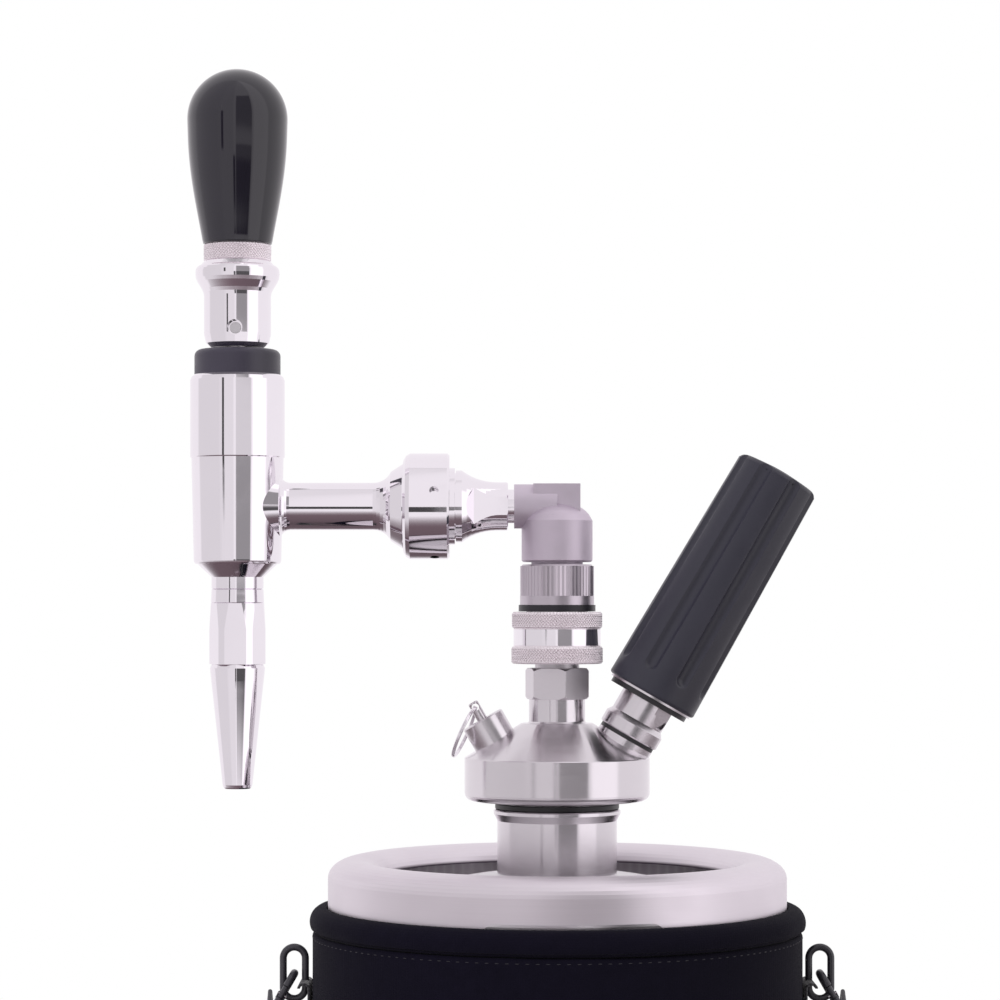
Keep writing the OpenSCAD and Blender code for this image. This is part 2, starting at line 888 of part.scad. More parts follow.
module elbow() {
    color(STEEL) difference() {
        union() {
            rod(elbow_spigot, stub_top + 0.3, elbow_z);
            turned(concat(
                [[0, elbow_z], [elbow_r - 0.6, elbow_z], [elbow_r, elbow_z + 0.6]],
                [for (i = [0:10]) let (r = elbow_r * (1 - i / 10))
                    [r, shoulder_z + shoulder_b * sqrt(1 - pow(r / shoulder_a, 2))]]));
            translate([block_x0, -block_y, arm_z - port_r])
                cube([block_x1 - block_x0, 2 * block_y, block_top - arm_z + port_r]);
            on_arm() rod(port_r, 0, port_x);
        }
        rod(elbow_bore, stub_top, arm_z);
        on_arm() rod(elbow_bore, 0, port_x + cut);
        on_arm() rod(6, port_x - 8, port_x + cut);
    }
}

module shank_adapter() {
    bell = [for (i = [0:8]) let (s = i / 8)
        [bell_r0 + (bell_r1 - bell_r0) * pow(s, bell_curve), stub_end + 3 + (bell_end - stub_end - 3) * s]];
    color(CHROME) on_arm() difference() {
        union() {
            rod(6, port_x - 7.7, port_x);
            rod(6.6, port_x, stub_end);
            turned(concat([[0, stub_end], [bell_r0 - 0.4, stub_end], [bell_r0, stub_end + 0.4]], bell,
                [[0, bell_end]]));
            rod(14, bell_end, ring_end);
            rod(13, ring_end, groove_end);
            rod(flange_r - gap, groove_end, nut_x0 + 2 * gap);
            rod(thread_r, nut_x0 + 2 * gap, washer_x);
        }
        rod(arm_bore, 0, washer_x + cut);
        for (turn = [0, 180]) rotate([0, 0, turn]) rotate([90, 0, 90])
            linear_extrude(height = 30, center = true) polygon([[flat_y, stub_end - cut],
                [20, stub_end - cut], [20, flat_end + 8], [flat_y, flat_end]]);
    }
}

module tail_washer() {
    color(WASHER) on_arm() tube(15, 5, washer_x, tail_x);
}

module coupling_nut() {
    color(CHROME) on_arm() difference() {
        turned([
            [flange_r, nut_x0], [nut_r - 0.8, nut_x0], [nut_r, nut_x0 + 0.8],
            [nut_r, nut_x1 - 2.6], [nut_r - 0.9, nut_x1 - 1], [nut_r - 2.6, nut_x1],
            [flare_r, nut_x1], [flare_r, tail_flange], [nut_bore, tail_flange], [nut_bore, nut_x0 + gap],
            [flange_r, nut_x0 + gap]]);
        for (i = [0:spanner_count - 1]) rotate([0, 0, 90 * i + spanner_turn]) translate([0, 0, spanner_x])
            rotate([0, 90, 0]) rod(spanner_r, nut_bore - 0.5, nut_r + cut);
    }
}

module faucet_body() {
    fillet_x = reach - body_r - 3.6;
    color(CHROME) difference() {
        union() {
            on_tap() turned(concat(
                [[0, nozzle_z], [throat_r, nozzle_z], [throat_r, cone_end]],
                [[body_r - 1.6, cone_z - 0.9]], arc([body_r - 2, cone_z + 0.8], 2, -50, 0, 4),
                [[body_r + body_taper, tap_seam], [inner_r, tap_seam], [inner_r, inner_top], [0, inner_top]]));
            on_arm() turned(concat(
                [[0, tail_x], [nut_bore - 0.2, tail_x], [nut_bore - 0.2, tail_flange], [flare_r, tail_flange]],
                [[flare_r, flare_x]],
                arc([shank_r + 7.5, flare_end + 4], 7.5, -115, -180, 6),
                arc([shank_r + shank_fillet, fillet_x], shank_fillet, 180, 105, 5),
                [[shank_r + root_flare, reach - 8], [0, reach - 8]]));
        }
        on_tap() rod(chamber_r, chamber_z, inner_top + cut);
        on_tap() rod(seat_r, nozzle_z + 4, chamber_z + cut);
        on_tap() rod(nozzle_bore, nozzle_z - cut, nozzle_z + 5);
        on_arm() rod(arm_bore + 0.5, tail_x - cut, reach);
    }
}

module body_sleeve() {
    color(CHROME) on_tap() difference() {
        turned([[0, tap_seam], [sleeve_r - 0.3, tap_seam], [sleeve_r, tap_seam + 0.4],
                [sleeve_r, sleeve_end - 2.2], [sleeve_r - 0.5, sleeve_end - 0.9],
                [bonnet_r + 0.1, sleeve_end], [0, sleeve_end]]);
        rod(inner_r, tap_seam - cut, sleeve_end + cut);
    }
}

module bonnet() {
    color(BLACK) on_tap() difference() {
        union() {
            rod(inner_r, inner_top + 0.2, sleeve_end);
            turned(concat([[0, sleeve_end], [bonnet_r, sleeve_end]],
                arc([bonnet_r - bonnet_round, bonnet_top - bonnet_round], bonnet_round, 0, 90, 6),
                [[0, bonnet_top]]));
        }
        rod(stem_r + stem_gap, inner_top - cut, bonnet_top + cut);
    }
}

module nozzle() {
    profile = [[throat_r - 0.5, nozzle_z], [throat_r, nozzle_z - 0.5], [10.3, 346],
               [waist_r, 335], [waist_r, 322], [10.2, 315],
               [tip_r + 0.3, tip_z + 1.5], [tip_r, tip_z + 0.5], [tip_r - 0.4, tip_z]];
    color(CHROME) on_tap() difference() {
        union() {
            intersection() {
                turned(concat([[0, nozzle_z]], profile, [[0, tip_z]]));
                union() {
                    rod(flats_w / sqrt(3), flats_z0, flats_z1, $fn = 6);
                    rod(20, tip_z - cut, flats_z0 - 3);
                    rod(20, flats_z1 + 1.5, nozzle_z + cut);
                    translate([0, 0, flats_z1]) cylinder(r1 = flats_w / 2 - 0.1, r2 = flats_w / 2 + 2, h = 1.5);
                    translate([0, 0, flats_z0 - 3])
                        cylinder(r1 = flats_w / 2 + 1.4, r2 = flats_w / 2 - 0.1, h = 3);
                }
            }
            rod(nozzle_bore, nozzle_z, nozzle_z + 4.8);
        }
        turned([[0, tip_z - cut], [tip_bore_r, tip_z - cut], [tip_bore_r, tip_z + 12],
                [nozzle_bore - 1.2, 318], [nozzle_bore - 1.2, nozzle_z + 6], [0, nozzle_z + 6]]);
    }
}

module restrictor_disc() {
    color(STEEL) on_tap() difference() {
        rod(nozzle_bore - 1.25, 345, 346.5);
        for (i = [0:4]) rotate([0, 0, 72 * i]) translate([3.4, 0, 0]) rod(0.6, 344, 348);
    }
}

module flow_straightener() {
    color(BLACK) on_tap() difference() {
        rod(nozzle_bore - 1.25, 322, 344.9);
        for (i = [0:5]) rotate([0, 0, 60 * i]) translate([3.4, 0, 0]) rod(1.5, 320, 346);
        rod(1.5, 320, 346);
    }
}

module valve_stem() {
    color(STEEL) on_tap() difference() {
        union() {
            rod(stem_r, chamber_z + 2, pin_z);
            translate([0, 0, pin_z]) rotate([90, 0, 0]) rod(4.2, -stem_eye / 2, stem_eye / 2);
            rod(6, chamber_z + 6, chamber_z + 8);
        }
        translate([0, 0, pin_z]) rotate([90, 0, 0]) rod(pin_r, -5, 5);
    }
}

module plunger_seal() {
    color(WASHER) on_tap() difference() {
        turned([[0, chamber_z + 0.1], [seat_r - 0.4, chamber_z + 0.1], [plunger_r, chamber_z + 1.2],
                [plunger_r, chamber_z + 6], [0, chamber_z + 6]]);
        rod(stem_r, chamber_z + 2, chamber_z + 7);
    }
}

module pivot_pin() {
    color(STEEL) on_tap() translate([0, 0, pin_z]) rotate([90, 0, 0]) rod(pin_r, -pin_l / 2, pin_l / 2);
}

module lever_collar() {
    heel = pin_z - lever_z;
    color(CHROME) on_tap() difference() {
        turned(concat(
            [[0, lever_z], [10.2, lever_z], [12.2, lever_z + 1.6], [lever_r, lever_z + 5.2],
             [lever_r, waist_z - 3]],
            [for (i = [0:6]) [lever_r + (bulge_r - lever_r) * (1 - cos(30 * i)) / 2,
                waist_z - 2 + (bulge_z - waist_z + 1) * i / 6]],
            arc([bulge_r - 2.4, bulge_z + 0.4], 2.4, 0, 80, 5),
            [[lever_r, lever_top], [0, lever_top]]));
        translate([-9.2, -3.3, lever_z - cut]) cube([13.9, 6.6, heel + cut]);
        translate([-5.4, -3.3, pin_z - 0.1]) cube([10.1, 6.6, 6]);
        translate([0, 0, pin_z]) rotate([90, 0, 0]) {
            rod(pin_r + pin_gap, -14, 14);
            for (s = [-1, 1]) translate([0, 0, s * 12]) cylinder(r = 2.95, h = 5, center = true);
        }
    }
}

module handle_ferrule() {
    color(STEEL) on_tap() difference() {
        turned([[0, lever_top], [ferrule_r - 0.5, lever_top], [ferrule_r, lever_top + 0.5],
                [ferrule_r, ferrule_top - 0.5], [ferrule_r - 0.5, ferrule_top], [4, ferrule_top],
                [4, ferrule_top + 14], [0, ferrule_top + 14]]);
    }
}

module tap_knob() {
    centre = top_z - knob_r;
    color(BLACK) on_tap() difference() {
        turned(concat(
            [[0, ferrule_top], [knob_foot_r - 0.6, ferrule_top], [knob_foot_r, ferrule_top + 0.6]],
            [for (i = [1:7]) [knob_foot_r + (knob_r - 0.15 - knob_foot_r) * pow(sin(90 * i / 8), 1.1),
                ferrule_top + (centre - 3 - ferrule_top) * i / 8]],
            arc([0, centre], knob_r, -3, 90, 14)));
        rod(4, ferrule_top - cut, ferrule_top + 14);
    }
}

shell_upper();
shell_lower();
neck();
top_chime();
foot_ring();
jacket_wall();
jacket_hem();
jacket_base();
side_tabs();
shoulder_strap();
strap_slider();
shoulder_pad();
strap_rings();
lid_gasket();
dip_tube();
lid_body();
liquid_post();
post_seal();
post_poppet();
post_spring();
relief_body();
relief_spring();
gas_inlet();
inlet_seal();
piercing_pin();
relief_stem();
relief_seal();
pull_ring();
gas_cartridge();
holder_tube();
dust_ring();
holder_grip();
disconnect_body();
locking_balls();
disconnect_ring();
collar_spring();
knurled_sleeve();
elbow();
shank_adapter();
tail_washer();
coupling_nut();
faucet_body();
body_sleeve();
bonnet();
nozzle();
restrictor_disc();
flow_straightener();
release_collar();
valve_stem();
plunger_seal();
pivot_pin();
lever_collar();
handle_ferrule();
tap_knob();
ring_left();
ring_right();
hook_left();
hook_right();
gate_left();
gate_right();
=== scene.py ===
"""Looks of the keg with its carrying jacket, screwed lid, charger and tap.

Row frame, in metres: +Z up the keg's axis, the tap reaches towards -X, the user stands at -Y.
Outlines below are in millimetres, and MM brings them to metres.
"""

import json
import math

import bmesh
import bpy
from mathutils import Matrix, Vector


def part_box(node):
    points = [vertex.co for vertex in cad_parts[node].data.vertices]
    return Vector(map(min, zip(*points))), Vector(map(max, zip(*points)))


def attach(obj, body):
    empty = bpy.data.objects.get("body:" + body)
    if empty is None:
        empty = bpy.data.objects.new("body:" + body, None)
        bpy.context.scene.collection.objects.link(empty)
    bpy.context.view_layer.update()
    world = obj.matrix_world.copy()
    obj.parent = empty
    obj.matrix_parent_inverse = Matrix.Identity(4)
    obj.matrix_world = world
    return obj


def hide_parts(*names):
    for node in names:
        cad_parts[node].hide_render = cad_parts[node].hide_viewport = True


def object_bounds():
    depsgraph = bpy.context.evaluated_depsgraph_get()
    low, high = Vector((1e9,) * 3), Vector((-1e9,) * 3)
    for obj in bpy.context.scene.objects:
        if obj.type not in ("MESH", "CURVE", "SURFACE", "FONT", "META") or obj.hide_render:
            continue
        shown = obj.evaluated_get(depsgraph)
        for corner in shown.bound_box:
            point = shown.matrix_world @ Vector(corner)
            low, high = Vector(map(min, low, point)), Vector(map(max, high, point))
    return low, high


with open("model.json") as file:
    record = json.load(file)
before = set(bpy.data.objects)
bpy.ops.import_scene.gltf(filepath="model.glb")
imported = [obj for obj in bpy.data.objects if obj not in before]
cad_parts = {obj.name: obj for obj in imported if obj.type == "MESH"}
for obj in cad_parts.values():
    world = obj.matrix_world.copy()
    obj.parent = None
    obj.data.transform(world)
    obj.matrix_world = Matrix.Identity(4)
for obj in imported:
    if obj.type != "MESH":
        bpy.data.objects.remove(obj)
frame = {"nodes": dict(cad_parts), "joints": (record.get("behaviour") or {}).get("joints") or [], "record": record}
cad_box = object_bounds()

MM = 0.001
JOINTS = {joint["name"]: joint for joint in frame["joints"]}
SLOT_OF = {part["node"]: part["material_slot"] for part in frame["record"]["subparts"]}

# ---------------------------------------------------------------- sizes that the CAD model also has

# Jacket: its outside, the face that hugs the keg, its top, the folded hem and the floor panel
JACKET_R = 95.0
JACKET_INNER = 89.3
JACKET_TOP = 227.8
HEM_H = 9.8
HEM_LOW = JACKET_TOP - HEM_H
JACKET_FLOOR = 4.0

# Side rings, and the sewn tabs that hold them
RING_X = 102.2
RING_HALF = 4.3
RING_LOW = 195.7
RING_HIGH = 207.1
RING_WIRE = 1.4
TAB_W = 22.0
TAB_T = 1.1
TAB_TOP = 199.8
TAB_LOW = 169.9

# Snap hooks. Places along a hook are counted from its top bend, and down is negative
HOOK_Z = 201.2
HOOK_LEAN = 30.0
HOOK_HALF = 5.0
HOOK_LENGTH = 16.0
HOOK_R = 1.6
EYE_AT = 20.6
EYE_R = 4.9
EYE_HOLE = 2.9
EYE_T = 1.8
RIM_ROUND = 0.5
HOLE_ROUND = 0.4
SWIVEL_R = 2.1
SWIVEL_LOW = -17.9
SWIVEL_HIGH = -15.6

# Gates of the hooks, their rivets and their ears
GATE_AT = 10.4
GATE_GAP = 0.6
GATE_R = 1.25
PIVOT_AT = -8.8
PIVOT_R = 0.5
RIVET_HALF = 1.9
EAR_X = 1.55
EAR_R = 0.28
EAR_LOW = -11.0
EAR_HIGH = -8.1

# Shoulder strap: a flat loop that leans back, its end bars, its adjuster and its pad
BAR_R = 0.9
STRAP_W = 25.0
STRAP_T = 1.6
STRAP_LEAN = 38.0
STRAP_START = 10.0
STRAP_STRAIGHT = 90.0
STRAP_DROP = 212.0
FOLD_DROP = 30.0
WEBBING_ROUND = 0.6
LOOP_SIDE = 2.5
STRAP_U = RING_X + EYE_AT * math.sin(math.radians(HOOK_LEAN))
STRAP_TOP = HOOK_Z - EYE_AT * math.cos(math.radians(HOOK_LEAN))
SLIDER_BARS = (42.0, 55.0, 68.0)
SLIDER_OUT = 2.2
SLIDER_SIDE = 2.0
SLIDER_R = 1.5
PAD_W = 40.0
PAD_T = 8.0
PAD_HALF = 70.0
PAD_ROUND = 3.6
PAD_SEAM_IN = 4.0
PAD_STITCH = 2.4
PAD_STITCH_GAP = 1.0

# Lean of the lid's two bosses: the charger's to the right and the relief valve's to the left
BOSS_LEAN = 30.0

# Charger grip: its mouth on the charger's axis, its taper, its bore and its grooves
MOUTH_T = 17.9
GRIP_L = 100.7
GRIP_R0 = 18.5
GRIP_R1 = 16.7
GRIP_BORE = 13.2
GRIP_BORE_L = 89.1
CHANNELS = 8
CHANNEL_R = 3.2
CHANNEL_OUT = 1.6
CHANNEL_AT = 11.0

# Collar of the disconnect: a knurled band on each side of a waist, and an inner rib and seat
COLLAR_LOW = 321.7
COLLAR_HIGH = 341.8
COLLAR_BORE = 13.8
LOWER_R = 17.75
UPPER_R = 17.55
WAIST_R = 16.85
WAIST_LOW = 328.35
WAIST_HIGH = 335.45
RIB_R = 12.25
RIB_LOW = 328.4
RIB_HIGH = 331.6
SEAT_R = 15.8
SEAT_LOW = 338.0

# Ferrule and knob of the lever, and the stud that joins them
FERRULE_R = 13.1
FERRULE_LOW = 477.9
STUD_R = 4.0
STUD_DEPTH = 14.0
KNOB_R = 19.5
KNOB_FOOT = 13.4
KNOB_LOW = 484.6
KNOB_TOP = 552.7
KNOB_CENTRE = KNOB_TOP - KNOB_R

# Split ring of the relief valve
SPLIT_R = 10.4
SPLIT_LEAN = 24.0

# ---------------------------------------------------------------- shader helpers


class Graph:
    """A node tree with short calls for adding nodes and joining them."""

    def __init__(self, tree):
        self.tree = tree

    def put(self, socket, value):
        if isinstance(value, bpy.types.NodeSocket):
            self.tree.links.new(value, socket)
        else:
            socket.default_value = value

    def add(self, kind, inputs=(), **settings):
        node = self.tree.nodes.new(kind)
        for key, value in settings.items():
            setattr(node, key, value)
        for key, value in dict(inputs).items():
            self.put(node.inputs[key], value)
        return node

    def math(self, operation, first, second=0.0):
        return self.add("ShaderNodeMath", {0: first, 1: second}, operation=operation).outputs[0]

    def ramp(self, value, low, high, to_low, to_high):
        """value taken from low..high to to_low..to_high, with soft ends."""
        inputs = {"Value": value, "From Min": low, "From Max": high, "To Min": to_low, "To Max": to_high}
        return self.add("ShaderNodeMapRange", inputs, interpolation_type="SMOOTHSTEP").outputs["Result"]

    def noise(self, vector, scale, detail=2.0, roughness=0.5):
        inputs = {"Vector": vector, "Scale": scale, "Detail": detail, "Roughness": roughness}
        return self.add("ShaderNodeTexNoise", inputs).outputs["Fac"]

    def mix(self, factor, first, second):
        node = self.add("ShaderNodeMix", data_type="RGBA")
        self.put(node.inputs["Factor"], factor)
        self.put(node.inputs["A"], first)
        self.put(node.inputs["B"], second)
        return node.outputs["Result"]

    def place(self):
        return self.add("ShaderNodeTexCoord").outputs["Object"]

    def bump(self, height, strength, distance):
        inputs = {"Height": height, "Strength": strength, "Distance": distance}
        return self.add("ShaderNodeBump", inputs).outputs["Normal"]

    def off_axis(self, parts):
        """The distance from Z of a place whose coordinates are parts."""
        square = self.math("ADD", self.math("POWER", parts["X"], 2), self.math("POWER", parts["Y"], 2))
        return self.math("SQRT", square)


def new_material(name, colour, metallic, roughness, **constants):
    """A material, its graph and its shader, with the constants set on the shader's own sockets."""
    made = bpy.data.materials.new(name)
    made.use_nodes = True
    made.diffuse_color = (*colour, 1)
    shader = made.node_tree.nodes["Principled BSDF"]
    shader.inputs["Base Color"].default_value = (*colour, 1)
    shader.inputs["Metallic"].default_value = metallic
    shader.inputs["Roughness"].default_value = roughness
    for key, value in constants.items():
        shader.inputs[key.replace("_", " ")].default_value = value
    return made, Graph(made.node_tree), shader


def shade(colour, factor):
    return (colour[0] * factor, colour[1] * factor, colour[2] * factor, 1)


def axis_place(graph, origin, lean):
    """The object's coordinates seen from an axis at origin that leans by lean degrees about Y."""
    mapping = {"Vector": graph.place(), "Location": origin, "Rotation": (0, math.radians(lean), 0)}
    return graph.add("ShaderNodeMapping", mapping, vector_type="TEXTURE").outputs["Vector"]


RINGS_PER_M = 2400
RINGS_ROUND = 2.2


def turned_steel(name, colour, roughness, origin=(0, 0, 0), lean=0.0, grain=1.0, spread=0.03):
    """Steel with the fine rings that a lathe or a belt leaves round its axis."""
    made, graph, shader = new_material(name, colour, 1.0, roughness)
    vector = axis_place(graph, origin, lean)
    parts = graph.add("ShaderNodeSeparateXYZ", {"Vector": vector}).outputs
    turn = graph.math("ARCTAN2", parts["Y"], parts["X"])
    inputs = {
        "X": graph.math("MULTIPLY", graph.off_axis(parts), RINGS_PER_M),
        "Y": graph.math("MULTIPLY", turn, RINGS_ROUND),
        "Z": graph.math("MULTIPLY", parts["Z"], RINGS_PER_M),
    }
    rings = graph.add("ShaderNodeCombineXYZ", inputs).outputs["Vector"]
    lines = graph.noise(rings, 1.0, detail=3.0, roughness=0.7)
    stains = graph.noise(vector, 38.0, detail=4.0)
    graph.put(shader.inputs["Base Color"], graph.mix(lines, shade(colour, 0.95), shade(colour, 1.04)))
    rough = graph.ramp(lines, 0.25, 0.75, roughness - spread, roughness + spread)
    dull = graph.ramp(stains, 0.35, 0.7, -0.02, 0.04)
    graph.put(shader.inputs["Roughness"], graph.math("ADD", rough, dull))
    graph.put(shader.inputs["Normal"], graph.bump(lines, 0.08 * grain, 0.00002))
    return made


def brushed_ring_steel(name, colour, roughness, anisotropy, grain=1.0):
    """Turned steel whose reflections stretch along the keg's axis."""
    made = turned_steel(name, colour, roughness, grain=grain)
    graph = Graph(made.node_tree)
    shader = made.node_tree.nodes["Principled BSDF"]
    shader.inputs["Anisotropic"].default_value = anisotropy
    shader.inputs["Anisotropic Rotation"].default_value = 0.25
    tangent = graph.add("ShaderNodeTangent", direction_type="RADIAL", axis="Z").outputs["Tangent"]
    graph.put(shader.inputs["Tangent"], tangent)
    return made


# Painted shade inside the chime, under its roll: its dark colour, the radius inside which it starts and the height
# below which it starts
UNDER_ROLL_SHADE = (0.05, 0.038, 0.052, 1)
UNDER_ROLL_SHADE_R = 0.0882
UNDER_ROLL_SHADE_TOP = 0.2402


def paint_shade_under_roll(made):
    """Paints shade on the rim's inner wall, from the shell up to the underside of the roll, where the roll shadows
    it.
    """
    graph = Graph(made.node_tree)
    shader = made.node_tree.nodes["Principled BSDF"]
    parts = graph.add("ShaderNodeSeparateXYZ", {"Vector": graph.place()}).outputs
    inner = graph.ramp(graph.off_axis(parts), UNDER_ROLL_SHADE_R - 0.0004, UNDER_ROLL_SHADE_R, 1.0, 0.0)
    low = graph.ramp(parts["Z"], UNDER_ROLL_SHADE_TOP - 0.0012, UNDER_ROLL_SHADE_TOP, 1.0, 0.0)
    unshaded = shader.inputs["Base Color"].links[0].from_socket
    shaded_wall = graph.mix(graph.math("MULTIPLY", inner, low), unshaded, UNDER_ROLL_SHADE)
    graph.put(shader.inputs["Base Color"], shaded_wall)
    return made


def polished_steel(name, colour):
    """Buffed steel: mirror-like, with hairlines and a few dull smears."""
    made, graph, shader = new_material(name, colour, 1.0, 0.05)
    place = graph.place()
    smears = graph.noise(place, 55.0, detail=5.0)
    hairs = graph.noise(place, 2600.0, detail=2.0)
    rough = graph.ramp(smears, 0.45, 0.75, 0.035, 0.10)
    graph.put(shader.inputs["Roughness"], rough)
    graph.put(shader.inputs["Base Color"], graph.mix(smears, shade(colour, 0.97), shade(colour, 1.02)))
    graph.put(shader.inputs["Normal"], graph.bump(hairs, 0.03, 0.00001))
    return made


def cast_steel(name, colour):
    """Bead-blasted casting: an even satin with a fine pebbled face."""
    made, graph, shader = new_material(name, colour, 1.0, 0.56)
    place = graph.place()
    beads = graph.noise(place, 2100.0, detail=3.0)
    cloud = graph.noise(place, 110.0, detail=4.0)
    graph.put(shader.inputs["Base Color"], graph.mix(cloud, shade(colour, 0.86), shade(colour, 1.1)))
    graph.put(shader.inputs["Roughness"], graph.ramp(cloud, 0.3, 0.7, 0.52, 0.62))
    graph.put(shader.inputs["Normal"], graph.bump(beads, 0.35, 0.00008))
    return made


def neoprene(name, colour):
    """Foam sheet faced with a dense knit: tiny staggered loops and a soft sheen."""
    made, graph, shader = new_material(
        name, colour, 0.0, 0.88, Sheen_Weight=0.02, Sheen_Roughness=0.4, Specular_IOR_Level=0.07
    )
    place = graph.place()
    inputs = {"Vector": place, "Scale": 1150.0, "Randomness": 0.35}
    loops = graph.add("ShaderNodeTexVoronoi", inputs).outputs["Distance"]
    lint = graph.noise(place, 240.0, detail=6.0)
    patches = graph.noise(place, 14.0, detail=3.0)
    shaded = graph.mix(lint, shade(colour, 0.7), shade(colour, 1.5))
    graph.put(shader.inputs["Base Color"], graph.mix(patches, shaded, shade(colour, 0.85)))
    height = graph.math("ADD", loops, graph.math("MULTIPLY", lint, 0.35))
    graph.put(shader.inputs["Normal"], graph.bump(height, 0.55, 0.00025))
    return made


LANES_PER_M = 1000.0
YARNS_PER_M = 4200.0


def webbing(name, colour):
    """Herringbone webbing. The texture's first coordinate runs along the strap in metres."""
    made, graph, shader = new_material(name, colour, 0.0, 0.72, Sheen_Weight=0.25)
    along = graph.add("ShaderNodeUVMap", uv_map="run").outputs["UV"]
    parts = graph.add("ShaderNodeSeparateXYZ", {"Vector": along}).outputs
    lanes = graph.math("PINGPONG", graph.math("MULTIPLY", parts["Y"], LANES_PER_M), 2.0)
    yarns = graph.math("MULTIPLY", parts["X"], YARNS_PER_M)
    slant = graph.math("ADD", yarns, graph.math("MULTIPLY", lanes, 2.4))
    yarn = graph.math("ADD", graph.math("MULTIPLY", graph.math("SINE", slant), 0.5), 0.5)
    fuzz = graph.noise(graph.place(), 900.0, detail=4.0)
    graph.put(shader.inputs["Base Color"], graph.mix(yarn, shade(colour, 0.55), shade(colour, 1.7)))
    graph.put(shader.inputs["Roughness"], graph.ramp(fuzz, 0.3, 0.7, 0.62, 0.82))
    height = graph.math("ADD", yarn, graph.math("MULTIPLY", fuzz, 0.3))
    graph.put(shader.inputs["Normal"], graph.bump(height, 0.6, 0.0003))
    return made


def moulded(name, colour, roughness, grain_scale, grain, spread, **constants):
    """Plastic, rubber or painted metal with a moulded or sprayed grain and small changes of gloss."""
    made, graph, shader = new_material(name, colour, 0.0, roughness, **constants)
    place = graph.place()
    pebble = graph.noise(place, grain_scale, detail=4.0)
    wear = graph.noise(place, 45.0, detail=5.0)
    rough = graph.ramp(wear, 0.35, 0.7, roughness - spread, roughness + spread)
    graph.put(shader.inputs["Base Color"], graph.mix(wear, shade(colour, 0.8), shade(colour, 1.25)))
    graph.put(shader.inputs["Roughness"], rough)
    graph.put(shader.inputs["Normal"], graph.bump(pebble, grain, 0.00006))
    return made


def zinc(name, colour):
    """Zinc-plated cartridge steel, with faint crystals."""
    made, graph, shader = new_material(name, colour, 1.0, 0.34)
    inputs = {"Vector": graph.place(), "Scale": 420.0}
    crystals = graph.add("ShaderNodeTexVoronoi", inputs).outputs["Distance"]
    graph.put(shader.inputs["Base Color"], graph.mix(crystals, shade(colour, 1.1), shade(colour, 0.85)))
    graph.put(shader.inputs["Roughness"], graph.ramp(crystals, 0.1, 0.7, 0.28, 0.42))
    return made


STEEL = (0.70, 0.665, 0.695)
CHROME = (0.86, 0.825, 0.865)
CHARGER_AXIS = Vector(JOINTS["holder_turn"]["pos_m"])
RELIEF_AT = Vector(JOINTS["pull_ring_swing"]["pos_m"])
TAP_X = (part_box("nozzle")[0].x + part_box("nozzle")[1].x) / 2

finishes = {
    "steel_brushed": brushed_ring_steel("steel_brushed", STEEL, 0.20, 0.92),
    "steel_polished": polished_steel("steel_polished", CHROME),
    "steel_cast": cast_steel("steel_cast", (0.68, 0.61, 0.69)),
    "steel_plain": turned_steel("steel_plain", (0.66, 0.64, 0.66), 0.30),
    "neoprene": neoprene("neoprene", (0.0034, 0.0028, 0.0068)),
    "webbing": webbing("webbing", (0.014, 0.013, 0.016)),
    "black_metal": moulded("black_metal", (0.022, 0.021, 0.026), 0.30, 1400.0, 0.12, 0.06),
    "knob_black": moulded("knob_black", (0.006, 0.005, 0.009), 0.08, 900.0, 0.01, 0.03, Coat_Weight=0.25),
    "bonnet_black": moulded("bonnet_black", (0.021, 0.018, 0.029), 0.42, 1500.0, 0.12, 0.06),
    "grip_rubber": moulded("grip_rubber", (0.015, 0.0145, 0.023), 0.46, 1700.0, 0.30, 0.08),
    "seal_rubber": moulded("seal_rubber", (0.012, 0.011, 0.013), 0.45, 1500.0, 0.1, 0.06),
    "ring_black": moulded("ring_black", (0.006, 0.005, 0.008), 0.38, 1500.0, 0.1, 0.06),
    "cartridge_steel": zinc("cartridge_steel", (0.56, 0.55, 0.57)),
}
charger_steel = turned_steel("steel_turned_charger", STEEL, 0.20, CHARGER_AXIS, BOSS_LEAN)
relief_steel = turned_steel("steel_turned_relief", STEEL, 0.20, RELIEF_AT, -BOSS_LEAN)
knurl_steel = turned_steel("steel_knurled", (0.96, 0.90, 0.93), 0.52, grain=0.4)
reeded_steel = turned_steel("steel_reeded", (0.55, 0.50, 0.55), 0.34, grain=0.4)
post_steel = turned_steel("steel_post", STEEL, 0.40)
rim_steel = brushed_ring_steel("steel_chime", (0.76, 0.71, 0.755), 0.44, 0.25, 2.5)
# The chime's steel, with painted shade under its roll
chime_steel = paint_shade_under_roll(rim_steel)
thread_black = moulded("sewing_thread", (0.010, 0.009, 0.013), 0.6, 2500.0, 0.3, 0.1)
neoprene_black = finishes["neoprene"]
webbing_black = finishes["webbing"]
metal_black = finishes["black_metal"]

# Nodes whose look differs from the other nodes of their slot
special = {
    "liquid_post": post_steel,
    "top_chime": chime_steel,
    "gas_inlet": charger_steel,
    "holder_tube": charger_steel,
    "piercing_pin": charger_steel,
    "relief_body": relief_steel,
    "relief_stem": relief_steel,
    "knurled_sleeve": reeded_steel,
}
for name, node in frame["nodes"].items():
    node.data.materials.clear()
    node.data.materials.append(special.get(name, finishes[SLOT_OF[name]]))

# ---------------------------------------------------------------- geometry helpers


def leaning(origin, direction):
    """A place in metres whose z runs along direction and whose y is the row's y."""
    z = Vector(direction).normalized()
    y = Vector((0, 1, 0))
    x = y.cross(z).normalized()
    made = Matrix((x, y, z)).transposed().to_4x4()
    made.translation = origin
    return made


def piece(name, data, body, finish, slot, *nodes):
    """Puts data in the scene as a piece that rides on body and stands for the CAD nodes."""
    made = bpy.data.objects.new(name, data)
    bpy.context.scene.collection.objects.link(made)
    data.materials.append(finish)
    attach(made, body)
    if nodes:
        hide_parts(*nodes)
    return made


